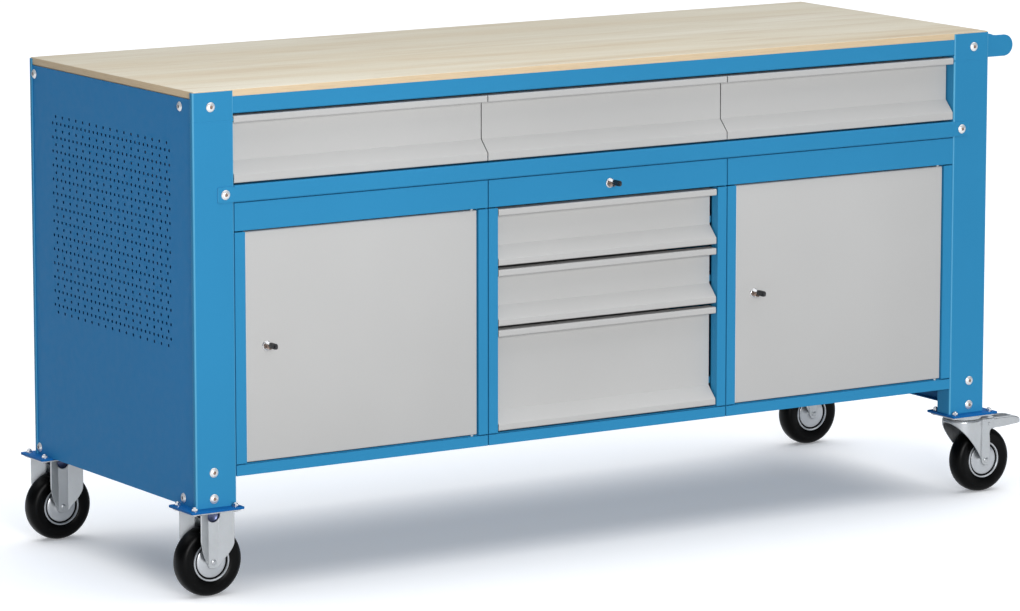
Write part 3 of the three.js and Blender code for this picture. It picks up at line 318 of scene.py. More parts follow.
BLUE = linear(50, 140, 188)
GREY = linear(197, 196, 194)

blue_paint = powder_coat("blue_powder_coat", BLUE, 0.42)
# the frame's blue, with a painted highlight on its upright folds
frame_paint_fold_highlight = powder_coat("blue_frame_coat_fold_highlight", BLUE, 0.42, linear(106, 186, 222))
# painted shade: a darker copy of the frame's blue for the foot plates, shaded under the posts
foot_paint_shade = powder_coat("blue_foot_coat_painted_shade", linear(15, 100, 168), 0.42)
# painted shade: a darker, bluer copy of the frame's blue for the side panels, the sides turned from
# the lamps
panel_paint_shade = powder_coat("blue_panel_coat_painted_shade", linear(40, 132, 192), 0.44)
# painted shade: dark blue for the vent holes' walls, so that the holes read dark
hole_wall_shade = powder_coat("blue_hole_wall", linear(18, 66, 112), 0.5)
grey_paint = powder_coat("grey_powder_coat", GREY, 0.46)
# the doors' grey, with a painted highlight on their upright folds
door_paint_fold_highlight = powder_coat("grey_door_coat_fold_highlight", GREY, 0.46, linear(232, 232, 230))
beech = beech_face("beech_veneer")
beech_edge = ply_edge("beech_edge")
zinc_plate = zinc("zinc_plate", (0.46, 0.475, 0.485, 1), 0.1)
# painted shade, with a painted reflection of the blue plate, for the casters' windows
zinc_in_shadow = zinc("zinc_in_shadow", (0.07, 0.085, 0.16, 1))
zinc_rim = zinc("zinc_rim", (0.47, 0.485, 0.50, 1), 0.01, 0.008)
bright_steel = plated_steel("bright_steel", (0.72, 0.72, 0.72, 1), 0.22)
screw_steel = plated_steel("screw_steel", (0.80, 0.80, 0.79, 1), 0.3, 0.45)
screw_socket = plated_steel("screw_socket", (0.30, 0.20, 0.16, 1), 0.35, 0.5)
# painted shade: nearly black sockets for the side panels' screws, which are lit less
side_socket_shade = plated_steel("screw_socket_painted_shade", (0.06, 0.045, 0.04, 1), 0.4, 0.5)
key_steel = plated_steel("key_steel", (0.15, 0.10, 0.075, 1), 0.3, 0.8)
tyre_rubber = rubber("tyre_rubber")
key_plastic = moulded_plastic("key_plastic", linear(20, 20, 22))

# A finish is a material slot of the record, and then the materials that a piece's faces use.
BLUE_FINISH = ("blue_paint", blue_paint)
RAIL_FINISH = ("blue_paint", frame_paint_fold_highlight)
POST_FINISH = ("blue_paint", frame_paint_fold_highlight, foot_paint_shade)
PANEL_FINISH = ("blue_paint", panel_paint_shade, hole_wall_shade)
GREY_FINISH = ("grey_paint", grey_paint)
DOOR_FINISH = ("grey_paint", door_paint_fold_highlight)
BOARD_FINISH = ("plywood", beech, beech_edge)
ZINC_FINISH = ("zinc", zinc_plate)
WINDOW_SHADE_FINISH = ("zinc", zinc_in_shadow)
# the rim's groove takes the black tyre rubber as painted shade
RIM_FINISH = ("zinc", zinc_rim, tyre_rubber)
BOLT_FINISH = ("zinc", bright_steel)
LOCK_FINISH = ("chrome", bright_steel)
KEY_FINISH = ("chrome", key_steel)
FRAME_SCREW_FINISH = ("chrome", screw_steel, screw_socket, side_socket_shade)
HANDLE_SCREW_FINISH = ("chrome", bright_steel, screw_socket)
TYRE_FINISH = ("rubber", tyre_rubber)
PLASTIC_FINISH = ("rubber", key_plastic)

CAD_MATERIALS = {
    "blue_paint": blue_paint, "grey_paint": grey_paint, "plywood": beech,
    "zinc": zinc_plate, "chrome": bright_steel, "rubber": tyre_rubber,
}

for node in frame["nodes"].values():
    for material_slot in node.material_slots:
        name = material_slot.material.name.split(".")[0]
        material_slot.material = CAD_MATERIALS.get(name, blue_paint)

# ---- outlines


def offset_path(path, distance):
    """The path moved sideways, to the left of its direction for a positive distance."""
    normals = []
    for (u0, v0), (u1, v1) in zip(path, path[1:]):
        length = math.hypot(u1 - u0, v1 - v0)
        normals.append(((v0 - v1) / length, (u1 - u0) / length))
    points = []
    for i, (u, v) in enumerate(path):
        before, after = normals[max(i - 1, 0)], normals[min(i, len(normals) - 1)]
        scale = distance / (1 + before[0] * after[0] + before[1] * after[1])
        points.append((u + (before[0] + after[0]) * scale, v + (before[1] + after[1]) * scale))
    return points


def turn_at(path, i):
    """Positive where the path turns left at point i."""
    (u0, v0), (u1, v1), (u2, v2) = path[i - 1], path[i], path[i + 1]
    return (u1 - u0) * (v2 - v1) - (v1 - v0) * (u2 - u1)


def rounded_path(path, radii, steps):
    """The path with an arc of its own radius at each corner."""
    points = [path[0]]
    for i in range(1, len(path) - 1):
        if not radii[i]:
            points.append(tuple(path[i]))
            continue
        before, corner, after = (Vector(path[k]) for k in (i - 1, i, i + 1))
        arriving, leaving = (corner - before).normalized(), (after - corner).normalized()
        angle = math.acos(max(-1, min(1, arriving.dot(leaving))))
        sign = 1 if turn_at(path, i) > 0 else -1
        reach = radii[i] * math.tan(angle / 2)
        start = corner - arriving * reach
        centre = start + Vector((-arriving.y, arriving.x)) * radii[i] * sign
        spoke = start - centre
        for k in range(steps + 1):
            a = sign * angle * k / steps
            points.append((centre.x + spoke.x * math.cos(a) - spoke.y * math.sin(a),
                           centre.y + spoke.x * math.sin(a) + spoke.y * math.cos(a)))
    return points + [path[-1]]


def folded(path, thickness, bend, steps=4):
    """Outline of a folded sheet: one face follows path, and the other lies to its left, or to its
    right for a negative thickness. bend is the inner radius of every fold."""
    near, far = [0.0], [0.0]
    for i in range(1, len(path) - 1):
        toward = (turn_at(path, i) > 0) == (thickness > 0)
        near.append(bend + abs(thickness) if toward else bend)
        far.append(bend if toward else bend + abs(thickness))
    other = offset_path(path, thickness)
    return rounded_path(path, near, steps) + rounded_path(other, far, steps)[::-1]


def arc(u, v, radius, start, end, steps):
    """Points about (u, v), from one angle to another in degrees."""
    angles = [math.radians(start + (end - start) * k / steps) for k in range(steps + 1)]
    return [(u + radius * math.cos(a), v + radius * math.sin(a)) for a in angles]


def rounded_rectangle(u0, u1, v0, v1, radius, steps=5):
    return (arc(u1 - radius, v0 + radius, radius, -90, 0, steps)
            + arc(u1 - radius, v1 - radius, radius, 0, 90, steps)
            + arc(u0 + radius, v1 - radius, radius, 90, 180, steps)
            + arc(u0 + radius, v0 + radius, radius, 180, 270, steps))


def spline(points, steps):
    """A smooth curve through the points."""
    padded = [points[0], *points, points[-1]]
    out = []
    for i in range(1, len(padded) - 2):
        p0, p1, p2, p3 = (Vector(padded[k]) for k in (i - 1, i, i + 1, i + 2))
        for k in range(steps):
            t = k / steps
            linear_part = 2 * p1 + (p2 - p0) * t
            square_part = (2 * p0 - 5 * p1 + 4 * p2 - p3) * t ** 2
            cube_part = (3 * p1 - p0 - 3 * p2 + p3) * t ** 3
            out.append(tuple(0.5 * (linear_part + square_part + cube_part)))
    return out + [tuple(points[-1])]


def mirrored(outline):
    """The outline, and then its mirror image across v = 0, back to the start."""
    return outline + [(u, -v) for u, v in outline[::-1]]


# ---- solids

# Where an outline's (u, v) and the sweep w go, for each sweep axis.
SWEEPS = {
    "x": lambda u, v, w: (w, u, v),
    "y": lambda u, v, w: (u, w, v),
    "z": lambda u, v, w: (u, v, w),
}


def extrude(bm, outline, axis, start, end):
    put = SWEEPS[axis]
    near = [bm.verts.new(put(u, v, start)) for u, v in outline]
    far = [bm.verts.new(put(u, v, end)) for u, v in outline]
    faces = [bm.faces.new(near), bm.faces.new(far[::-1])]
    for i in range(len(outline)):
        j = (i + 1) % len(outline)
        faces.append(bm.faces.new((near[i], far[i], far[j], near[j])))
    bmesh.ops.recalc_face_normals(bm, faces=faces)
    return faces


def block(bm, x_a, x_b, y_a, y_b, z0, z1):
    """A box between two values along each axis, which X and Y may have in either order."""
    (x0, x1), (y0, y1) = sorted((x_a, x_b)), sorted((y_a, y_b))
    return extrude(bm, [(x0, y0), (x1, y0), (x1, y1), (x0, y1)], "z", z0, z1)


def revolve(bm, profile, centre, axis, sides, closed=False):
    """Turns (radius, along) points about an axis through centre. A closed profile makes a ring."""
    rings = []
    for radius, along in profile:
        count = 1 if radius < 1e-6 else sides
        ring = []
        for k in range(count):
            a = 2 * math.pi * k / sides
            offset = SWEEPS[axis](radius * math.cos(a), radius * math.sin(a), along)
            ring.append(bm.verts.new(Vector(centre) + Vector(offset)))
        rings.append(ring)
    pairs = list(zip(rings, rings[1:])) + ([(rings[-1], rings[0])] if closed else [])
    faces = []
    for a, b in pairs:
        for k in range(sides):
            j = (k + 1) % sides
            corners = [a[k % len(a)], a[j % len(a)], b[j % len(b)], b[k % len(b)]]
            unique = list(dict.fromkeys(corners))
            if len(unique) > 2:
                faces.append(bm.faces.new(unique))
    if not closed:
        faces += [bm.faces.new(ring) for ring in (rings[0], rings[-1]) if len(ring) > 1]
    bmesh.ops.recalc_face_normals(bm, faces=faces)
    return faces


def solid_of(*calls):
    """A new bmesh with one shape for each (function, arguments...) given."""
    bm = bmesh.new()
    for function, *arguments in calls:
        function(bm, *arguments)
    return bm


def add_object(name, data):
    made = bpy.data.objects.new(name, data)
    bpy.context.scene.collection.objects.link(made)
    return made


def prism(outline, axis, start, end):
    return solid_of((extrude, outline, axis, start, end))


def object_from(bm, name):
    """A new object with the bmesh's shape. The bmesh is used up."""
    mesh = bpy.data.meshes.new(name)
    bm.to_mesh(mesh)
    bm.free()
    return add_object(name, mesh)


def discard(made):
    mesh = made.data
    bpy.data.objects.remove(made)
    bpy.data.meshes.remove(mesh)


def evaluated(made):
    """The object's mesh with its modifiers applied, as a new bmesh. The object is removed."""
    bm = bmesh.new()
    bm.from_object(made, bpy.context.evaluated_depsgraph_get())
    discard(made)
    return bm


def combine(bm, other, operation):
    """bm cut by, joined to or limited to another solid. Both are used up."""
    a, b = object_from(bm, "combine_a"), object_from(other, "combine_b")
    assign(a.modifiers.new("combine", "BOOLEAN"), operation=operation, solver="EXACT", object=b)
    result = evaluated(a)
    discard(b)
    return result


def cut_out(bm, *extrusion):
    return combine(bm, prism(*extrusion), "DIFFERENCE")


def limit_to(bm, *extrusion):
    return combine(bm, prism(*extrusion), "INTERSECT")


def thickened(bm, thickness):
    """An open shell grown inward into a sheet. The shell is used up."""
    made = object_from(bm, "shell")
    assign(made.modifiers.new("wall", "SOLIDIFY"), thickness=thickness, offset=-1,
           use_even_offset=True)
    return evaluated(made)


def open_box(x0, x1, y0, y1, z0, z1, axis):
    """A box without its face toward the positive end of an axis, 0 to 2."""
    bm = bmesh.new()
    faces = block(bm, x0, x1, y0, y1, z0, z1)
    bm.normal_update()
    facing = [face for face in faces if face.normal[axis] > 0.9]
    bmesh.ops.delete(bm, geom=facing, context="FACES_ONLY")
    return bm


def cap(plan, low, high, open_x, shoulder, segments):
    """A solid over a plan, its upper rim rounded except at the open end, where X is open_x."""
    bm = prism(plan, "z", low, high)
    bm.normal_update()
    rim = [edge for edge in bm.edges if all(v.co.z > high - 0.01 for v in edge.verts)
           and not all(abs(v.co.x - open_x) < 0.01 for v in edge.verts)]
    round_edges(bm, rim, shoulder, segments)
    return bm


def round_edges(bm, edges, radius, segments):
    bmesh.ops.bevel(bm, geom=edges, offset=radius, segments=segments, profile=0.5, affect="EDGES")


def upright_edges(bm):
    return [edge for edge in bm.edges if abs(edge.verts[0].co.z - edge.verts[1].co.z) > 1]


def cut_across(bm, point, normal, keep_below=False):
    """Cuts all faces by a plane, and with keep_below drops what lies on its normal's side."""
    bmesh.ops.bisect_plane(bm, geom=bm.verts[:] + bm.edges[:] + bm.faces[:], dist=1e-4,
                           plane_co=point, plane_no=normal, clear_outer=keep_below)


def dissolve_flat(bm):
    bmesh.ops.dissolve_limit(bm, angle_limit=math.radians(1), verts=bm.verts, edges=bm.edges)


def paste(bm, source, x=0.0, y=0.0, z=0.0):
    """Adds a copy of another bmesh, moved."""
    mesh = bpy.data.meshes.new("copy")
    source.to_mesh(mesh)
    mesh.transform(Matrix.Translation((x, y, z)))
    bm.from_mesh(mesh)
    bpy.data.meshes.remove(mesh)


def moved(bm, x, y):
    bmesh.ops.translate(bm, verts=bm.verts, vec=(x, y, 0))
    return bm


# ---- pieces

CREASE = math.radians(32)  # edges sharper than this stay sharp, or get rounded


def add_soft_edges(made, radius):
    assign(made.modifiers.new("soft_edges", "BEVEL"), limit_method="ANGLE", angle_limit=CREASE,
           width=radius * MM, segments=2, use_clamp_overlap=False, harden_normals=True,
           miter_outer="MITER_ARC")
    assign(made.modifiers.new("even_normals", "WEIGHTED_NORMAL"), weight=60, keep_sharp=True)


def add_piece(bm, name, body, finish, replaces=(), edge=0.0, in_metres=False):
    """One visible piece. edge is the radius, in mm, that its sharp edges get."""
    made = object_from(bm, name)
    if not in_metres:
        made.data.transform(TO_FRAME)
    for polygon in made.data.polygons:
        polygon.use_smooth = True
    slot, *materials = finish
    for material in materials:
        made.data.materials.append(material)
    if edge:
        add_soft_edges(made, edge)
    else:
        made.data.set_sharp_from_angle(angle=CREASE)
    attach(made, body)
    if replaces:
        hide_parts(*replaces)


def dress(node, suffix, bm, finish, edge=0.0):
    """The visible piece that stands for a CAD node."""
    add_piece(bm, f"{node}_{suffix}", body_of(node), finish, [node], edge)


def soften(node, finish, edge):
    """The CAD node's own shape with rounded edges."""
    bm = bmesh.new()
    bm.from_mesh(frame["nodes"][node].data)
    bmesh.ops.remove_doubles(bm, verts=bm.verts, dist=2e-5)
    dissolve_flat(bm)
    add_piece(bm, f"{node}_finished", body_of(node), finish, [node], edge, in_metres=True)


# ---- worktop


def make_worktop():
    """The board. Its upper part stands out as a lip over the top frame."""
    x0, x1, y0, y1, z0, z1 = span("worktop")
    bm = solid_of((block, x0, x1, y0, y1, RAIL_Z1, z1))
    upper = [edge for edge in bm.edges if all(v.co.z > z1 - 1 for v in edge.verts)]
    round_edges(bm, upper + upright_edges(bm), 1.2, 3)
    inset = SHEET + FIT
    block(bm, x0 + inset, x1 - inset, y0 + inset, y1 - inset, z0, RAIL_Z1)
    bm.normal_update()
    for face in bm.faces:
        face.material_index = 0 if abs(face.normal.z) > 0.6 else 1
    dress("worktop", "board", bm, BOARD_FINISH)


make_worktop()

# ---- posts and rails

POST_BEND = FOLD + 0.6
POST_RETURN = 10.0  # the narrow fold along the side panel
POST_FLANGE = 38.0  # the wide fold beside the cabinets
SEAM_Z = 828.0  # where the top frame sits on the posts
SEAM_HALF = 0.15
LINING = 0.2  # how far the sheet behind the seam stays inside the post
RAIL_DEPTH = 40.0
BOARD_UNDER = span("worktop")[4]


def mapped(points, side_x, side_y):
    """From distances inward of a corner's outer faces to the bench's X and Y."""
    return [(side_x * (HALF_LENGTH - a), side_y * (HALF_DEPTH - b)) for a, b in points]


def make_post(side_x, side_y, node):
    """A folded sheet on a foot plate. Its flange ends under the rail, its face runs up to the top,
    and a hairline shows where the top frame sits on it."""
    outer = folded([(0, POST_RETURN), (0, 0), (POST_WIDTH, 0), (POST_WIDTH, POST_FLANGE)],
                   SHEET, POST_BEND)
    section = mapped(outer, side_x, side_y)
    lining = folded([(LINING, POST_RETURN - LINING), (LINING, LINING),
                     (POST_WIDTH - LINING, LINING)], SHEET - LINING, POST_BEND)
    (ax, ay), (bx, by) = mapped([(POST_WIDTH + 1, SHEET), (POST_WIDTH - 12, 40)], side_x, side_y)
    bm = combine(prism(section, "z", SEAM_Z + SEAM_HALF, POST_TOP),
                 solid_of((block, ax, bx, ay, by, RAIL_Z0 - FIT, POST_TOP + 1)), "DIFFERENCE")
    extrude(bm, section, "z", PLATE_TOP, SEAM_Z - SEAM_HALF)
    extrude(bm, mapped(lining, side_x, side_y), "z", SEAM_Z - 2, SEAM_Z + 2)
    x0, x1, y0, y1, _, _ = span(node)
    # the foot plate takes the darker blue: painted shade at the post's foot
    for face in extrude(bm, rounded_rectangle(x0, x1, y0, y1, 4), "z", PLATE_Z, PLATE_TOP):
        face.material_index = 1
    dress(node, "sheet", bm, POST_FINISH, 0.45)


def top_channel(side):
    """The U under the worktop's long edge. side is the sign of that edge along Y."""
    web = side * (HALF_DEPTH - SHEET)
    inner = web - side * RAIL_DEPTH
    path = [(inner, BOARD_UNDER), (inner, RAIL_Z0), (web, RAIL_Z0), (web, RAIL_Z1)]
    return prism(folded(path, side * SHEET, FOLD), "x", RAIL_X0, RAIL_X1)


def make_rear_apron():
    bm = top_channel(1)
    web = HALF_DEPTH - SHEET
    path = [(web - RAIL_DEPTH, CASE_TOP), (web, CASE_TOP), (web, RAIL_Z0 - 0.2)]
    extrude(bm, folded(path, SHEET, FOLD), "x", -INNER_HALF, INNER_HALF)
    dress("rear_apron", "sheet", bm, BLUE_FINISH, 0.4)


def make_middle_rail():
    """A channel open to the back, with a flat tab on each post."""
    _, tab_end, y0, y1, z0, z1 = span("middle_rail")
    path = [(y1, z1), (y0, z1), (y0, z0), (y1 - 2, z0)]
    bm = prism(folded(path, SHEET, FOLD + 0.3), "x", -INNER_HALF, INNER_HALF)
    for side in (-1, 1):
        u0, u1 = sorted((side * (INNER_HALF - 0.1), side * tab_end))
        tab = rounded_rectangle(u0, u1, z0 + 1.5, z1 - 1.5, 3)
        bm = combine(bm, prism(tab, "y", y0, y0 + SHEET), "UNION")
    dissolve_flat(bm)
    dress("middle_rail", "sheet", bm, RAIL_FINISH, 0.4)


for side_x, side_y, corner in CORNERS:
    make_post(side_x, side_y, f"{corner}_post")
dress("front_top_rail", "sheet", top_channel(-1), BLUE_FINISH, 0.4)
make_rear_apron()
make_middle_rail()
soften("front_lower_rail", BLUE_FINISH, 0.5)
soften("rear_lower_rail", BLUE_FINISH, 0.5)

# ---- perforated side panels

HOLE_RADIUS = 2.9
HOLE_SIDES = 10
HOLE_ROWS = 15  # wide rows, with a dense row halfway between each pair
TOP_ROW_Z = 783.0
ROW_PITCH = 25.2
# Distance of a row's first hole from the bench's front, pitch and number of holes.
WIDE_ROW = (96.0, 25.5, 17)
DENSE_ROW = (87.0, 15.3, 29)


def hole_row(z, start, pitch, count):
    return [(-HALF_DEPTH + start + pitch * k, z) for k in range(count)]


def hole_field():
    """Y and Z of each vent hole."""
    holes = []
    for row in range(HOLE_ROWS):
        z = TOP_ROW_Z - ROW_PITCH * row
        holes += hole_row(z, *WIDE_ROW)
        if row < HOLE_ROWS - 1:
            holes += hole_row(z - ROW_PITCH / 2, *DENSE_ROW)
    return holes


def perforated_plate(bm, x_out, x_in, rect):
    """A sheet across X with round holes, made from one flat tessellation."""
    y0, y1, z0, z1 = rect
    points = [Vector(p) for p in ((y0, z0), (y1, z0), (y1, z1), (y0, z1))]
    loops = [[0, 1, 2, 3]]
    for y, z in hole_field():
        start = len(points)
        for k in range(HOLE_SIDES):
            a = 2 * math.pi * (k + 0.5) / HOLE_SIDES
            points.append(Vector((y + HOLE_RADIUS * math.cos(a), z + HOLE_RADIUS * math.sin(a))))
        loops.append(list(range(start, start + HOLE_SIDES)))
    flat, _, triangles, _, _, owners = delaunay_2d_cdt(points, [], loops, 1, 1e-4)
    near = [bm.verts.new((x_out, p.x, p.y)) for p in flat]
    far = [bm.verts.new((x_in, p.x, p.y)) for p in flat]
    faces = []
    for triangle, owner in zip(triangles, owners):
        if not any(owner):  # inside the outline, which is loop 0, and in no hole
            faces.append(bm.faces.new([near[i] for i in triangle]))
            faces.append(bm.faces.new([far[i] for i in reversed(triangle)]))
    rims = [edge for edge in bm.edges if edge.is_boundary and edge.verts[0].co.x == x_out]
    partner = dict(zip(near, far))
    corners = set(near[:4])
    for edge in rims:
        a, b = edge.verts
        wall = bm.faces.new((a, b, partner[b], partner[a]))
        # the holes' walls take the dark blue: painted shade in the holes
        wall.material_index = 0 if corners.issuperset(edge.verts) else 1
        faces.append(wall)
    bmesh.ops.recalc_face_normals(bm, faces=faces)


def make_side_panel(side, node):
    """The perforated sheet with its folds: beside the posts, under the worktop and at the foot."""
    _, _, y0, y1, z0, z1 = span(node)
    flange_half = span("right_slide_carrier")[3]
    skin, inside, post_fold, top_fold, foot_fold = (
        side * (HALF_LENGTH - depth) for depth in (SHEET, 2 * SHEET, 58, 32, 12))
    bm = bmesh.new()
    perforated_plate(bm, skin, inside, (y0, y1, z0, z1))
    for y in (y0, y1):
        block(bm, inside, post_fold, y, y - math.copysign(SHEET, y), z0, RAIL_Z0 - FIT)
    block(bm, inside, top_fold, -flange_half, flange_half, BOARD_UNDER - SHEET, BOARD_UNDER)
    block(bm, inside, foot_fold, y0, y1, z0, z0 + SHEET)
    dress(node, "sheet", bm, PANEL_FINISH)


make_side_panel(-1, "left_side_panel")
make_side_panel(1, "right_side_panel")

# ---- cabinets

UNIT_DRAWERS = ("upper_unit_drawer", "middle_unit_drawer", "lower_unit_drawer")
TOP_DRAWERS = ("left_top_drawer", "centre_top_drawer", "right_top_drawer")
FRONT_GAP = 2.0  # between an opening's side and its door or drawers
CASE_FLOOR = span("lower_unit_drawer_front")[4] - 3.0
OPEN_TOP = span("upper_unit_drawer_front")[5] + 4.0
OPEN_HALF = span("upper_unit_drawer_front")[1] + FRONT_GAP
HAIR = 1.15  # half of the gap between a cabinet's front plates
CASE_JOINT = 0.8  # half of the gap between two cabinets
PLATE_FOLD = 7.0  # how deep the front plates' folded edges are
REVEAL_DEPTH = 20.0
SHELF_LEDGE = 14.0
SLIDE_ROOM = 11.0  # beside a drawer's tray
RUNNER_DEPTH = 12.5
RUNNER_HEIGHT = 26.0
RUNNER_RISE = 30.0  # above the lower edge of its drawer's front
STANDOFF = 24.0  # length of the blocks between a runner and the wall


def plate_end(wall, side):
    """Where a cabinet's front plates end: just behind the post, or short of the next cabinet."""
    return wall + side * 0.2 if abs(wall) > INNER_HALF - 1 else wall - side * CASE_JOINT


def cabinet_case(node):
    """Header, sill and stiles as separate plates, then walls, floor, top, back and the reveal
    round the opening."""
    x0, x1, _, back, _, _ = span(node)
    x = (x0 + x1) / 2
    t = CASE_SHEET
    bm = bmesh.new()
    front, behind, reveal_end = (-HALF_DEPTH + depth for depth in (0, PLATE_FOLD, REVEAL_DEPTH))
    left, right = plate_end(x0, -1), plate_end(x1, 1)
    block(bm, left, right, front, behind, OPEN_TOP + HAIR, CASE_TOP - 1.2)
    block(bm, left, right, front, behind, CASE_BOTTOM, CASE_FLOOR - HAIR)
    for side, end in ((-1, left), (1, right)):
        block(bm, x + side * OPEN_HALF, end, front, behind, CASE_FLOOR + HAIR, OPEN_TOP - HAIR)
    for side, wall in ((-1, x0), (1, x1)):
        block(bm, wall, wall - side * t, behind, back, CASE_FLOOR - t, CASE_TOP)
        reveal = x + side * OPEN_HALF
        block(bm, reveal, reveal + side * t, behind, reveal_end, CASE_FLOOR - t, OPEN_TOP + t)
    block(bm, x0 + t, x1 - t, behind, back, CASE_FLOOR - t, CASE_FLOOR)
    block(bm, x0 + t, x1 - t, behind, back, CASE_TOP - t, CASE_TOP)
    block(bm, x0 + t, x1 - t, back - t, back, CASE_FLOOR, CASE_TOP - t)
    block(bm, x - OPEN_HALF, x + OPEN_HALF, behind, reveal_end, OPEN_TOP, OPEN_TOP + t)
    block(bm, x0 + 0.35, x1 - 0.35, behind, front + 12, CASE_BOTTOM, CASE_BOTTOM + t)
    return bm


def make_cupboard(name):
    """A case with a ledge on each wall and a shelf."""
    node, shelf = f"{name}_cabinet", f"{name}_shelf"
    x0, x1, _, back, _, _ = span(node)
    _, _, shelf_front, _, _, shelf_top = span(shelf)
    bm = cabinet_case(node)
    top = shelf_top - CASE_SHEET
    for side, wall in ((-1, x0), (1, x1)):
        face = wall - side * CASE_SHEET
        path = [(face, top - SHELF_LEDGE), (face, top), (wall - side * SHELF_LEDGE, top)]
        extrude(bm, folded(path, side * CASE_SHEET, 0.6, 2), "y", shelf_front, back - CASE_SHEET)
    dress(node, "body", bm, BLUE_FINISH, 0.4)
    soften(shelf, BLUE_FINISH, 0.4)


def make_centre_cabinet():
    """The case of the drawer unit, and the runners that stand off its walls."""
    wall = span("centre_cabinet")[1] - CASE_SHEET
    bm, runners = cabinet_case("centre_cabinet"), bmesh.new()
    for drawer in UNIT_DRAWERS:
        _, box_x1, box_front, box_back, _, _ = span(f"{drawer}_box")
        low = span(f"{drawer}_front")[4] + RUNNER_RISE
        high = low + RUNNER_HEIGHT
        start = box_front + 3
        for side in (-1, 1):
            mouth = side * (box_x1 - SLIDE_ROOM + 1)
            web = mouth + side * RUNNER_DEPTH
            path = [(mouth, high), (web, high), (web, low), (mouth, low)]
            extrude(runners, folded(path, -side * CASE_SHEET, 0.8, 3), "y", start, box_back)
            for y in (start, box_back - STANDOFF):
                block(bm, web, side * wall, y, y + STANDOFF, low + 7, low + 19)
    dress("centre_cabinet", "body", bm, BLUE_FINISH, 0.4)
    add_piece(runners, "centre_cabinet_runners", "frame", ZINC_FINISH, edge=0.3)


make_cupboard("left")
make_cupboard("right")
make_centre_cabinet()
for side in ("left", "right"):
    soften(f"{side}_slide_carrier", ZINC_FINISH, 0.35)
    soften(f"{side}_slide_divider", ZINC_FINISH, 0.35)

# ---- drawers

TRAY_SHEET = 1.25
HEM = 1.9  # radius of the tray's rolled rim
SLIDE_RISE = 24.0  # above the tray's floor
SLIDE_HEIGHT = 22.4
SLIDE_LIP = 5.0


def drawer_front(drawer, foot_lip, rise):
    """A folded front with a grip hollow along it. Its edges lie where the photo shows them, within
    the gaps: the left one further out, and the upper one higher by rise."""
    node = f"{drawer}_front"
    x0, x1, y0, back, z0, z1 = span(node)
    x0, x1 = x0 - (1.3 if drawer == TOP_DRAWERS[0] else 0.6), x1 - 1.0
    z0, z1 = z0 + 0.8, z1 + rise
    grip_top, hollow, slope_top = z1 - 12, y0 + 22, z0 + (foot_lip + 22.4)
    path = [(back, z1), (y0, z1), (y0, grip_top), (hollow, grip_top), (hollow, slope_top),
            (y0, z0 + foot_lip), (y0, z0), (back, z0)]
    bm = prism(folded(path, CASE_SHEET, 0.9, 5), "x", x0, x1)
    dress(node, "sheet", bm, GREY_FINISH, 0.3)


def drawer_tray(drawer):
    """A sheet tray with a rolled rim, and the drawer's half of its slides."""
    node = f"{drawer}_box"
    x0, x1, y0, y1, z0, z1 = span(node)
    left, right = x0 + SLIDE_ROOM, x1 - SLIDE_ROOM
    bm = open_box(left, right, y0, y1, z0, z1, axis=2)
    round_edges(bm, upright_edges(bm), 2.0, 3)
    bm = thickened(bm, TRAY_SHEET)
    for u in (left + HEM, right - HEM):
        extrude(bm, arc(u, z1 - HEM, HEM, 0, 345, 12), "y", y0 + 2, y1 - 2)
    for u in (y0 + HEM, y1 - HEM):
        extrude(bm, arc(u, z1 - HEM, HEM, 0, 345, 12), "x", left + 2, right - 2)
    dress(node, "tray", bm, GREY_FINISH)
    bars = bmesh.new()
    low = z0 + SLIDE_RISE + CASE_SHEET + FIT
    high = low + SLIDE_HEIGHT
    for side, wall in ((-1, left), (1, right)):
        web = wall + side * SLIDE_ROOM
        path = [(web, low + SLIDE_LIP), (web, low), (wall, low), (wall, high), (web, high),
                (web, high - SLIDE_LIP)]
        extrude(bars, folded(path, -side * TRAY_SHEET, 0.8, 3), "y", y0 + 5, y1)
    add_piece(bars, f"{node}_slides", drawer, ZINC_FINISH, edge=0.3)


for drawers, foot_lip, rise in ((TOP_DRAWERS, 14.0, 1.6), (UNIT_DRAWERS, 11.5, 0.0)):
    for drawer in drawers:
        drawer_front(drawer, foot_lip, rise)
        drawer_tray(drawer)

# ---- doors

RETURN_WIDTH = 14.0


def make_door(node):
    """A sheet tray with returns round its open back and a hinge pin at each end."""
    x0, x1, y0, y1, _, _ = span(node)
    z0, z1 = CASE_FLOOR + FRONT_GAP, OPEN_TOP - FRONT_GAP
    bm = open_box(x0, x1, y0, y1, z0, z1, axis=1)
    round_edges(bm, [edge for edge in bm.edges if not edge.is_boundary], 1.9, 4)
    bm = thickened(bm, CASE_SHEET)
    back = y1 - CASE_SHEET
    inside = CASE_SHEET + 0.1
    for side, wall in ((-1, x0), (1, x1)):
        block(bm, wall - side * inside, wall - side * RETURN_WIDTH, back, y1,
              z0 + RETURN_WIDTH + 1, z1 - RETURN_WIDTH - 1)
    block(bm, x0 + inside, x1 - inside, back, y1, z0 + inside, z0 + RETURN_WIDTH)
    block(bm, x0 + inside, x1 - inside, back, y1, z1 - RETURN_WIDTH, z1 - inside)
    pivot_x, pivot_y, _ = joint_place(f"{node}_hinge")
    for start, end in ((z0 - 3.2, z0 + 1), (z1 - 1, z1 + 3.2)):
        revolve(bm, [(2.5, start), (2.5, end)], (pivot_x, pivot_y, 0), "z", 20)
    dress(node, "tray", bm, DOOR_FINISH)


make_door("left_door")
make_door("right_door")

# ---- locks and keys


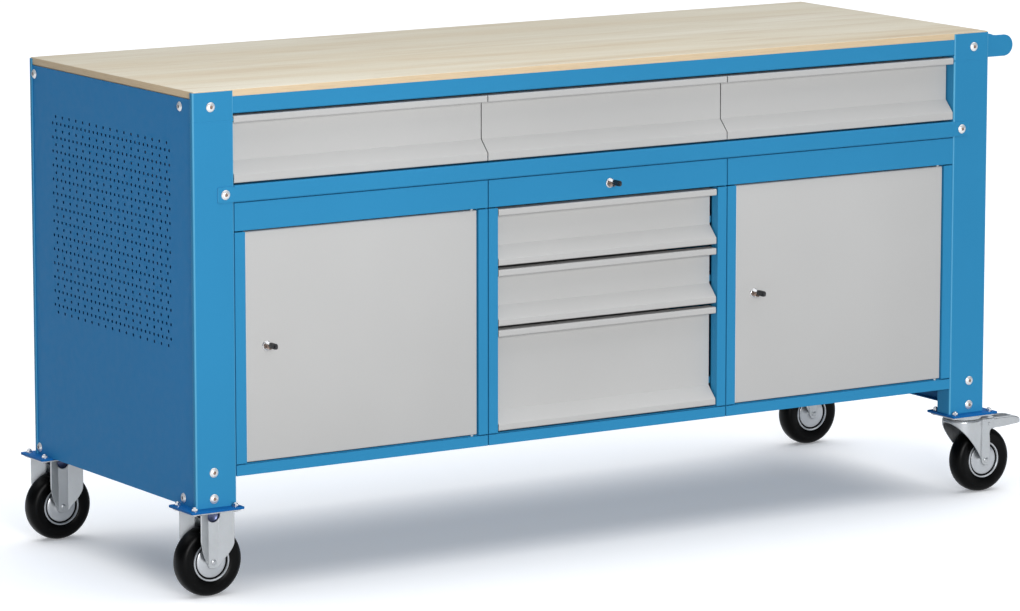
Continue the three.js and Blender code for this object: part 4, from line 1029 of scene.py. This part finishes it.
def make_lock(node):
    """A cam lock's cylinder with its head in the face, and the cam and its nut behind."""
    place = joint_place(f"{node}_turn")
    x, face, z = place
    _, _, _, back, cam_z0, _ = span(node)
    depth = back - face
    head = [(0.0, -1.0), (2.0, -1.0), (2.0, -2.2), (6.6, -2.2), (7.0, -2.3), (7.2, -2.9),
            (7.6, -3.0), (8.5, -2.5), (9.0, -1.6), (9.0, -0.3)]
    bm = solid_of((revolve, head, place, "y", 48),
                  (revolve, [(8.0, -0.3), (8.0, depth - 2)], place, "y", 32),
                  (extrude, rounded_rectangle(x - 7, x + 7, cam_z0, z + 7, 3), "y", back - 2, back),
                  (revolve, [(5.5, depth - 2.2), (5.5, depth - 0.1)], place, "y", 6))
    dress(node, "cylinder", bm, LOCK_FINISH)


def make_key(node):
    """The key in the lock: a steel blade, and a plastic bow with a hole for the ring."""
    x, face, z = joint_place(f"{node}_turn")
    tip = span(node)[2]
    outline = rounded_rectangle(face - 16.5, face - 1.2, z - 5.0, z + 2.4, 0.8, 3)
    blade = prism(outline, "x", x - 1.3, x + 1.3)
    add_piece(blade, f"{node}_key_blade", node, KEY_FINISH, edge=0.25)
    outline = rounded_rectangle(tip, face - 12.0, z - 2.6, z + 7.4, 4.4, 8)
    hole = arc(tip + 5.6, z + 2.4, 2.4, 0, 345, 23)
    bow = cut_out(prism(outline, "x", x - 2.2, x + 2.2), hole, "x", x - 5, x + 5)
    add_piece(bow, f"{node}_key_bow", node, PLASTIC_FINISH, edge=0.6)


for lock in ("left_door_lock", "right_door_lock", "drawer_unit_lock"):
    make_lock(lock)
    make_key(lock)

# ---- screws and bolts

SCREW_SIDES = 36
POST_SCREW_X = HALF_LENGTH - 35
POST_SCREW_Z = (852.5, 219.5, 173.5)
TAB_SCREW_X = HALF_LENGTH - 62
PANEL_SCREW_Y = (-252.0, 283.5)
PANEL_SCREW_Z = (851.0, 171.0)
BOLT_X, BOLT_Y = 40.0, 30.0  # from the middle of a foot plate


def dome_profile(radius, height, steps=7):
    """Half of a button head, from the rim to the flat round its socket."""
    flat = radius * 0.42
    sphere = (radius ** 2 + height ** 2) / (2 * height)
    radii = [radius - (radius - flat) * k / steps for k in range(steps + 1)]
    return [(r, math.sqrt(max(sphere ** 2 - r ** 2, 0)) - (sphere - height)) for r in radii]


def button_screw(bm, point, axis, sign, radius=8.5, height=3.4, socket_share=0.36, inside=1):
    """A domed screw with a hexagonal socket, standing on a face on its narrower collar. inside is
    the material index of the socket's floor."""
    angles = [2 * math.pi * k / SCREW_SIDES for k in range(SCREW_SIDES)]

    def ring(radii, along):
        return [bm.verts.new(Vector(point) + Vector(SWEEPS[axis](
            r * math.cos(a), r * math.sin(a), sign * along))) for r, a in zip(radii, angles)]

    collar = [(radius - 1.0, 0.0), (radius - 1.0, 0.5)]
    profile = collar + [(r, along + 0.6) for r, along in dome_profile(radius, height)]
    rings = [ring([r] * SCREW_SIDES, along) for r, along in profile]
    top = profile[-1][1]
    for along, scale in ((top, 1.0), (top - height * 0.55, 0.97)):
        flat = radius * socket_share * scale
        sectors = [(a + math.pi / 6) % (math.pi / 3) - math.pi / 6 for a in angles]
        rings.append(ring([flat / math.cos(sector) for sector in sectors], along))
    faces = [bm.faces.new(rings[0]), bm.faces.new(rings[-1])]
    for a, b in zip(rings, rings[1:]):
        for k in range(SCREW_SIDES):
            j = (k + 1) % SCREW_SIDES
            faces.append(bm.faces.new((a[k], a[j], b[j], b[k])))
    bmesh.ops.recalc_face_normals(bm, faces=faces)
    faces[1].material_index = inside


def make_frame_screws(side, name):
    """The screws of one end: front, back, the middle rail's tab and the side panel."""
    _, _, rail_front, _, rail_z0, rail_z1 = span("middle_rail")
    bm = bmesh.new()
    for z in POST_SCREW_Z:
        button_screw(bm, (side * POST_SCREW_X, -HALF_DEPTH, z), "y", -1)
        button_screw(bm, (side * POST_SCREW_X, HALF_DEPTH, z), "y", 1)
    button_screw(bm, (side * TAB_SCREW_X, rail_front, (rail_z0 + rail_z1) / 2), "y", -1)
    skin = side * (HALF_LENGTH - SHEET)
    for y in PANEL_SCREW_Y:
        for z in PANEL_SCREW_Z:
            # the side panels' sockets take the nearly black material: painted shade
            button_screw(bm, (skin, y, z), "x", side, socket_share=0.42, inside=2)
    add_piece(bm, f"{name}_frame_screws", "frame", FRAME_SCREW_FINISH)


def bolt_nut():
    """A washer, a chamfered nut and the bolt's end, standing on z = 0."""
    across, low, high = 9.4, 1.1, 4.9
    corner, washer = across / math.sqrt(3), across * 0.62
    bm = solid_of((revolve, [(washer, 0), (washer, low), (0, low)], ORIGIN, "z", 28))
    nut = prism(arc(0, 0, corner, 0, 300, 5), "z", low, high)
    chamfer = [(0, low), (corner + 1, low), (corner + 1, high - 0.9),
               (corner - 0.108 * across, high), (0, high)]
    paste(bm, combine(nut, solid_of((revolve, chamfer, ORIGIN, "z", 32)), "INTERSECT"))
    thread = [(0, high), (3.0, high), (3.0, high + 1.4), (2.4, high + 2.0), (0, high + 2.0)]
    revolve(bm, thread, ORIGIN, "z", 20)
    return bm


def bolt_head():
    """A round head that hangs from z = 0."""
    profile = [(0, 0), (6.6, 0), (6.4, -0.6), (5.4, -1.6), (3.4, -2.1), (0, -2.3)]
    return solid_of((revolve, profile, ORIGIN, "z", 28))


def make_plate_bolts(side_x, side_y, corner):
    """The four bolts that hold a caster under its foot plate."""
    nut, head = bolt_nut(), bolt_head()
    bm = bmesh.new()
    for x in (side_x * CASTER_X - BOLT_X, side_x * CASTER_X + BOLT_X):
        for y in (side_y * CASTER_Y - BOLT_Y, side_y * CASTER_Y + BOLT_Y):
            paste(bm, nut, x, y, PLATE_TOP)
            paste(bm, head, x, y, CASTER_PLATE_Z)
    add_piece(bm, f"{corner}_plate_bolts", "frame", BOLT_FINISH)


make_frame_screws(-1, "left")
make_frame_screws(1, "right")
for corner in CORNERS:
    make_plate_bolts(*corner)

# ---- push handle

HANDLE_X0, HANDLE_X1, _, HANDLE_HALF, HANDLE_Z0, HANDLE_Z1 = span("push_handle")
STRAP_SHEET = 4.0
STRAP_END = 20.0  # radius of the strap's round end
BAR_X, BAR_Z = HANDLE_X1 - STRAP_END, HANDLE_Z0 + STRAP_END


def make_straps():
    """Two straps, folded where they meet the side panel and rounded at the bar."""
    bm = bmesh.new()
    root = HANDLE_X0 - 1
    outline = [(root, HANDLE_Z0), *arc(BAR_X, BAR_Z, STRAP_END, -90, 90, 28),
               *spline([(HANDLE_X0 + 30, HANDLE_Z1 - 4), (HANDLE_X0 + 22, HANDLE_Z1 - 3.2),
                        (HANDLE_X0 + 14, HANDLE_Z1 - 0.6), (HANDLE_X0 + 8, HANDLE_Z1),
                        (root, HANDLE_Z1)], 4)]
    for side in (-1, 1):
        edge = side * HANDLE_HALF
        path = [(HANDLE_X0, edge - side * 54), (HANDLE_X0, edge), (HANDLE_X1, edge)]
        strap = folded(path, -side * STRAP_SHEET, 4.0, 6)
        paste(bm, limit_to(prism(strap, "z", HANDLE_Z0, HANDLE_Z1),
                           outline, "y", -HANDLE_HALF - 1, HANDLE_HALF + 1))
    dress("push_handle", "straps", bm, BLUE_FINISH, 0.6)


def make_bar():
    """The tube between the straps, flared at both ends."""
    end = HANDLE_HALF - STRAP_SHEET
    flare = [(0, -end), (15.5, -end), (14.6, -end + 1.6), (12.9, -end + 3.4), (12.5, -end + 5)]
    bm = solid_of((revolve, mirrored(flare), (BAR_X, 0, BAR_Z), "y", 48))
    add_piece(bm, "push_handle_bar", "frame", BLUE_FINISH)


def make_handle_screws():
    bm = bmesh.new()
    for side in (-1, 1):
        point = (HANDLE_X0 + STRAP_SHEET, side * (HANDLE_HALF - 40), BAR_Z)
        button_screw(bm, point, "x", 1, 6.5, 3.0)
    add_piece(bm, "push_handle_screws", "frame", HANDLE_SCREW_FINISH)


make_straps()
make_bar()
make_handle_screws()

# ---- wheels

AXLE_Z = span("front_left_caster_tyre")[5] / 2
FORK_INNER = 21.0
FORK_SHEET = 2.5


def tyre_profile():
    """From the rim over the bulged wall to the tread."""
    return mirrored(spline([
        (35.0, 15.4), (36.0, 16.4), (40.0, 17.8), (46.0, 18.8), (50.0, 19.0), (54.0, 18.0),
        (57.6, 15.6), (60.2, 12.0), (61.8, 7.5), (62.5, 2.5)], 4))


def rim_profile():
    """The pressed disc: flange against the tyre, groove, domed centre and hub."""
    return mirrored([
        (35.2, 15.0), (35.0, 16.2), (34.2, 17.0), (32.8, 17.0), (31.9, 16.2), (31.4, 14.4),
        (31.1, 9.0), (29.4, 9.0), (28.9, 13.2), (28.2, 14.6), (26.8, 15.3), (22.0, 16.0),
        (16.0, 16.8), (12.5, 17.6), (10.6, 19.0), (9.6, 20.2), (8.6, 20.5), (5.3, 20.5)])


def add_wheel(name, x, y):
    """Tyre, rim whose groove takes the black rubber as painted shade, and a riveted axle that stays
    with the fork.
    """
    place = (x, y, AXLE_Z)
    tyre = solid_of((revolve, tyre_profile(), place, "y", 96, True))
    dress(f"{name}_tyre", "moulded", tyre, TYRE_FINISH)
    bm = bmesh.new()
    for face in revolve(bm, rim_profile(), place, "y", 96, True):
        middle = face.calc_center_median()
        radius = math.hypot(middle.x - x, middle.z - AXLE_Z)
        # the groove's faces get the black rubber: painted shade
        groove_shade = 29.0 < radius < 31.5 and abs(middle.y - y) < 13.5
        face.material_index = 1 if groove_shade else 0
    dress(f"{name}_rim", "pressed", bm, RIM_FINISH)
    end = FORK_INNER + FORK_SHEET + 0.3
    half = [(0, end + 1.7), (2.0, end + 1.6), (3.6, end + 1.2), (4.8, end + 0.6), (5.2, end),
            (5.0, end), (5.0, 0)]
    axle = solid_of((revolve, half + [(r, -along) for r, along in half[-2::-1]], place, "y", 32))
    dress(f"{name}_axle", "riveted", axle, ZINC_FINISH)


def caster_plate(bm):
    extrude(bm, rounded_rectangle(-48, 48, -38, 38, 5), "z", CASTER_PLATE_Z, PLATE_Z)


# ---- rigid casters

WINDOW_Z = 145.0
WINDOW_RADIUS = 12.0


def rigid_leg(side):
    """A leg with a flat middle and two wings, cut to a point round the axle, with a window."""
    flat, wing, half = 10.8, 17.0, 33.5
    wing_y = side * (FORK_INNER + wing)
    path = [(-half, wing_y), (-flat, side * FORK_INNER), (flat, side * FORK_INNER), (half, wing_y)]
    leg = prism(folded(path, side * FORK_SHEET, 2.5, 6), "z", 45, 151.5)
    curve = [(5.5, -10.6), (9.2, -8.6), (11.6, -5.0), (19.5, 7.5), (26.6, 19), (31.4, 31),
             (half, 44)]
    edge = [(0, AXLE_Z - 11.0), *spline([(u, AXLE_Z + v) for u, v in curve], 4), (half, 152.0)]
    outline = edge + [(-u, v) for u, v in edge[:0:-1]]
    leg = limit_to(leg, outline, "y", -45, 45)
    window = [(WINDOW_RADIUS, 153), (-WINDOW_RADIUS, 153),
              *arc(0, WINDOW_Z, WINDOW_RADIUS, 180, 360, 20)]
    return cut_out(leg, window, "y", -45, 45)


def window_tongue(bm, side):
    """The dished tongue behind a leg's window, in dark blue zinc: painted shade with a painted
    reflection of the blue plate, which darkens the window.
    """
    face = side * (FORK_INNER + FORK_SHEET - 0.2)
    dish = [(0, 5.4), (7.0, 5.0), (10.6, 3.4), (12.1, 0.6), (12.6, 0.6), (12.6, 2.2), (11.2, 4.6),
            (7.4, 6.4), (0, 6.8)]
    revolve(bm, [(r, face - side * depth) for r, depth in dish], (0, 0, WINDOW_Z), "y", 40)


def add_rigid_caster(name, x, y):
    bm, tongues = bmesh.new(), bmesh.new()
    caster_plate(bm)
    for side in (-1, 1):
        paste(bm, rigid_leg(side))
        window_tongue(tongues, side)
    dress(f"{name}_fork", "pressed", moved(bm, x, y), ZINC_FINISH, 0.6)
    cut_across(tongues, (0, 0, CASTER_PLATE_Z - 0.1), (0, 0, 1), keep_below=True)
    add_piece(moved(tongues, x, y), f"{name}_fork_windows", "frame", WINDOW_SHADE_FINISH)
    add_wheel(name, x, y)


# ---- swivel casters with brakes

TRAIL = 40.0  # from the swivel axis to the axle
CROWN = 38.0  # radius of the fork's top
CROWN_TOP = span("front_right_caster_fork")[5]
FORK_REAR = TRAIL + 18.0
LEG_END = 9.5
PEDAL_PIVOT = 47.0
PEDAL_TIP = span("front_right_caster_brake_pedal")[1] - CASTER_X
TREAD_Z = AXLE_Z + 78.0


def fork_plan(offset, reach):
    """The fork seen from above, offset inward: a round crown that runs into two straight legs."""
    steps = 64
    radius, y = CROWN - offset, FORK_INNER + FORK_SHEET - offset
    crease = math.degrees(math.asin(y / radius))
    bend = 4.0 - offset / 2
    return rounded_path([(reach, y), *arc(0, 0, radius, crease, 360 - crease, steps), (reach, -y)],
                        [0, bend] + [0] * (steps - 1) + [bend, 0], 5)


def swivel_fork():
    """A round crown whose wall runs down into two flat legs that end round the axle."""
    rear = FORK_REAR + 5
    hollow = combine(
        cap(fork_plan(0, FORK_REAR), 40, CROWN_TOP, FORK_REAR, 4.5, 5),
        cap(fork_plan(FORK_SHEET, rear), 30, CROWN_TOP - FORK_SHEET, rear, 2.4, 5), "DIFFERENCE")
    front = spline([(-CROWN - 2, CROWN_TOP - 4.4), (-37.4, CROWN_TOP - 4.8), (-33.6, 136.5),
                    (-26.6, 129.6), (-14.8, 115.6), (-3.0, 100.9), (15.4, 77.8), (28.0, 62.2)], 5)
    back = spline([(TRAIL + LEG_END, AXLE_Z + 3), (TRAIL + LEG_END, AXLE_Z + 24),
                   (TRAIL + 8.9, AXLE_Z + 41), (TRAIL + 8.0, AXLE_Z + 50),
                   (TRAIL + 9.5, AXLE_Z + 56), (TRAIL + 13.5, AXLE_Z + 59.4),
                   (FORK_REAR + 1, AXLE_Z + 61)], 5)
    outline = [(FORK_REAR + 1, CROWN_TOP + 1), (-CROWN - 2, CROWN_TOP + 1), *front,
               *arc(TRAIL, AXLE_Z, LEG_END, 219, 360, 18), *back]
    return limit_to(hollow, outline, "y", -CROWN - 2, CROWN + 2)


PEDAL_ROOT = PEDAL_PIVOT - 6.0
PEDAL_NECK = FORK_REAR + 8.0
PEDAL_HALF = 18.0  # half of the tread's width
NOSE_LENGTH = 30.0  # over which the tread turns down
NOSE_DROP = 11.0
NOSE_CUTS = 11


def tread_plan(inset, back):
    wide, narrow = FORK_INNER - 1 - inset, PEDAL_HALF - inset
    return [(back, -wide), (FORK_REAR, -wide), (PEDAL_NECK, -narrow),
            *arc(PEDAL_TIP - PEDAL_HALF, 0, narrow, -90, 90, 28),
            (PEDAL_NECK, narrow), (FORK_REAR, wide), (back, wide)]


def brake_pedal():
    """The tread: a tray whose tip turns down, with a slot along it and a skirt all round."""
    inner_back, inner_top = PEDAL_ROOT - 2, TREAD_Z - FORK_SHEET
    made = combine(
        cap(tread_plan(0, PEDAL_ROOT), TREAD_Z - 24, TREAD_Z, PEDAL_ROOT, 2.6, 4),
        cap(tread_plan(FORK_SHEET, inner_back), TREAD_Z - 26, inner_top, inner_back, 1.2, 4),
        "DIFFERENCE")
    for k in range(1, NOSE_CUTS + 1):
        cut_across(made, (PEDAL_TIP - NOSE_LENGTH * k / NOSE_CUTS, 0, 0), (1, 0, 0))
    for vert in made.verts:
        turned = max(0.0, (vert.co.x - PEDAL_TIP + NOSE_LENGTH) / NOSE_LENGTH)
        vert.co.z -= NOSE_DROP * turned ** 2
    depths = [(PEDAL_ROOT - 1, 14.5), (PEDAL_ROOT + 6, 17.6), (FORK_REAR - 2, 19.4),
              (PEDAL_NECK + 1, 18.8), (85.5, 18.4), (97.5, 17.4), (107.5, 16.4), (118.5, 15.6),
              (PEDAL_TIP + 1, 14.6)]
    skirt = spline([(x, TREAD_Z - depth) for x, depth in depths], 5)
    outline = [*skirt, (PEDAL_TIP + 1, TREAD_Z + 1), (PEDAL_ROOT - 1, TREAD_Z + 1)]
    made = limit_to(made, outline, "y", -30, 30)
    slot = rounded_rectangle(PEDAL_NECK + 4, PEDAL_TIP - 28, -6, 6, 5.5, 8)
    made = cut_out(made, slot, "z", TREAD_Z - 8, TREAD_Z + 2)
    pin = [(0, -24.5), (3, -24.5), (3, 24.5), (0, 24.5)]
    revolve(made, pin, (PEDAL_PIVOT, 0, TREAD_Z - 9), "y", 24)
    return made


def add_plate_and_race(name, x, y):
    """The fixed half: plate, the swivel's race and the rivet under it."""
    place = (0, 0, CASTER_PLATE_Z)
    race = [(0, 0.2), (37.0, 0.2), (37.0, -2.4), (36.4, -3.4), (36.4, -4.6), (35.8, -5.5),
            (34.8, -6.0), (0, -6.0)]
    rivet = [(0, -5.8), (8, -5.8), (8, -9.1), (12, -9.1), (12, -11.4), (9, -13.1), (0, -13.1)]
    bm = solid_of((caster_plate,), (revolve, race, place, "z", 64),
                  (revolve, rivet, place, "z", 32))
    dress(f"{name}_plate", "and_race", moved(bm, x, y), ZINC_FINISH, 0.3)


def add_swivel_caster(name, x, y):
    pedal = f"{name}_brake_pedal"
    add_plate_and_race(name, x, y)
    dress(f"{name}_fork", "pressed", moved(swivel_fork(), x, y), ZINC_FINISH, 0.6)
    dress(pedal, "pressed", moved(brake_pedal(), x, y), ZINC_FINISH, 0.4)
    low = TREAD_Z - 6
    start, end = x + FORK_REAR + 9, x + PEDAL_TIP - 26
    spring = solid_of((block, start, end, y - 10, y + 10, low, low + 1.5))
    add_piece(spring, f"{name}_brake_spring", body_of(pedal), PLASTIC_FINISH, edge=0.3)
    add_wheel(name, x + TRAIL, y)


for side_y, name_y in ((-1, "front"), (1, "rear")):
    add_rigid_caster(f"{name_y}_left_caster", -CASTER_X, side_y * CASTER_Y)
    add_swivel_caster(f"{name_y}_right_caster", CASTER_X, side_y * CASTER_Y)

# ---- stage, light and camera


def floor_white():
    """A white floor that keeps its shadows: seen directly it is lifted a little, lit it is pale."""
    n = material_nodes("floor_white")
    light = n.add("ShaderNodeLightPath").outputs
    mirrored_ray = n.math("MAXIMUM", light["Is Glossy Ray"], light["Is Transmission Ray"])
    seen = n.math("MAXIMUM", light["Is Camera Ray"], mirrored_ray)
    cool = n.mix(n.noise(3.0, 2.0), (0.975, 0.975, 0.978, 1), (0.985, 0.985, 0.988, 1))
    lit = n.add("ShaderNodeBsdfDiffuse", {"Color": cool})
    glow = n.add("ShaderNodeEmission", {"Color": (0.955, 0.965, 1.0, 1), "Strength": 0.18})
    both = n.add("ShaderNodeAddShader", {0: lit.outputs[0], 1: glow.outputs[0]})
    bounce = n.add("ShaderNodeBsdfDiffuse", {"Color": (0.38, 0.38, 0.38, 1)})
    return n.surface(n.add("ShaderNodeMixShader", {
        0: seen, 1: bounce.outputs[0], 2: both.outputs[0]}))


def make_floor(half):
    mesh = bpy.data.meshes.new("studio_floor")
    corners = [(-half, -half, 0), (half, -half, 0), (half, half, 0), (-half, half, 0)]
    mesh.from_pydata(corners, [], [(0, 1, 2, 3)])
    mesh.materials.append(floor_white())
    add_object("studio_floor", mesh)


def studio_world():
    """Soft blue light from all round, and a white background where the camera sees it."""
    n = Nodes(bpy.data.worlds.new("studio"), "ShaderNodeOutputWorld")
    light = n.add("ShaderNodeLightPath").outputs
    seen = n.math("MAXIMUM", light["Is Camera Ray"], light["Is Transmission Ray"])
    soft = n.add("ShaderNodeBackground", {"Color": (0.72, 0.84, 1.0, 1), "Strength": 0.2})
    white = n.add("ShaderNodeBackground", {"Color": (1, 1, 1, 1)})
    return n.surface(n.add("ShaderNodeMixShader", {
        0: seen, 1: soft.outputs[0], 2: white.outputs[0]}))


def add_lamp(name, kind, direction, **settings):
    """A lamp that shines along direction."""
    lamp = add_object(name, assign(bpy.data.lights.new(name, kind), **settings))
    lamp.rotation_euler = Vector(direction).to_track_quat("-Z", "Y").to_euler()
    return lamp


def add_camera(place, yaw, pitch, lens):
    """yaw is clockwise from +Y and pitch is downward, both in degrees."""
    data = assign(bpy.data.cameras.new("camera"), lens=lens, sensor_width=36.0,
                  sensor_fit="HORIZONTAL", clip_end=200.0)
    aim = (math.pi / 2 - math.radians(pitch), 0, -math.radians(yaw))
    bpy.context.scene.camera = assign(add_object("camera", data), location=place,
                                      rotation_euler=aim)


make_floor(30.0)
bpy.context.scene.world = studio_world()
add_lamp("overhead", "SUN", (-0.1, -0.14, -1), energy=2.55, angle=math.radians(92))
box_place, box_target = Vector((-1.8, -6.2, 1.8)), Vector((0, -0.3, 0.5))
front_box = add_lamp("front_left_box", "AREA", box_target - box_place, shape="RECTANGLE",
                     size=2.4, size_y=1.8, energy=262.0)
front_box.location = box_place
add_camera((-5.12850, -7.93908, 1.98921), yaw=32.552, pitch=9.591, lens=183.21)
bpy.context.scene.view_settings.view_transform = "Standard"
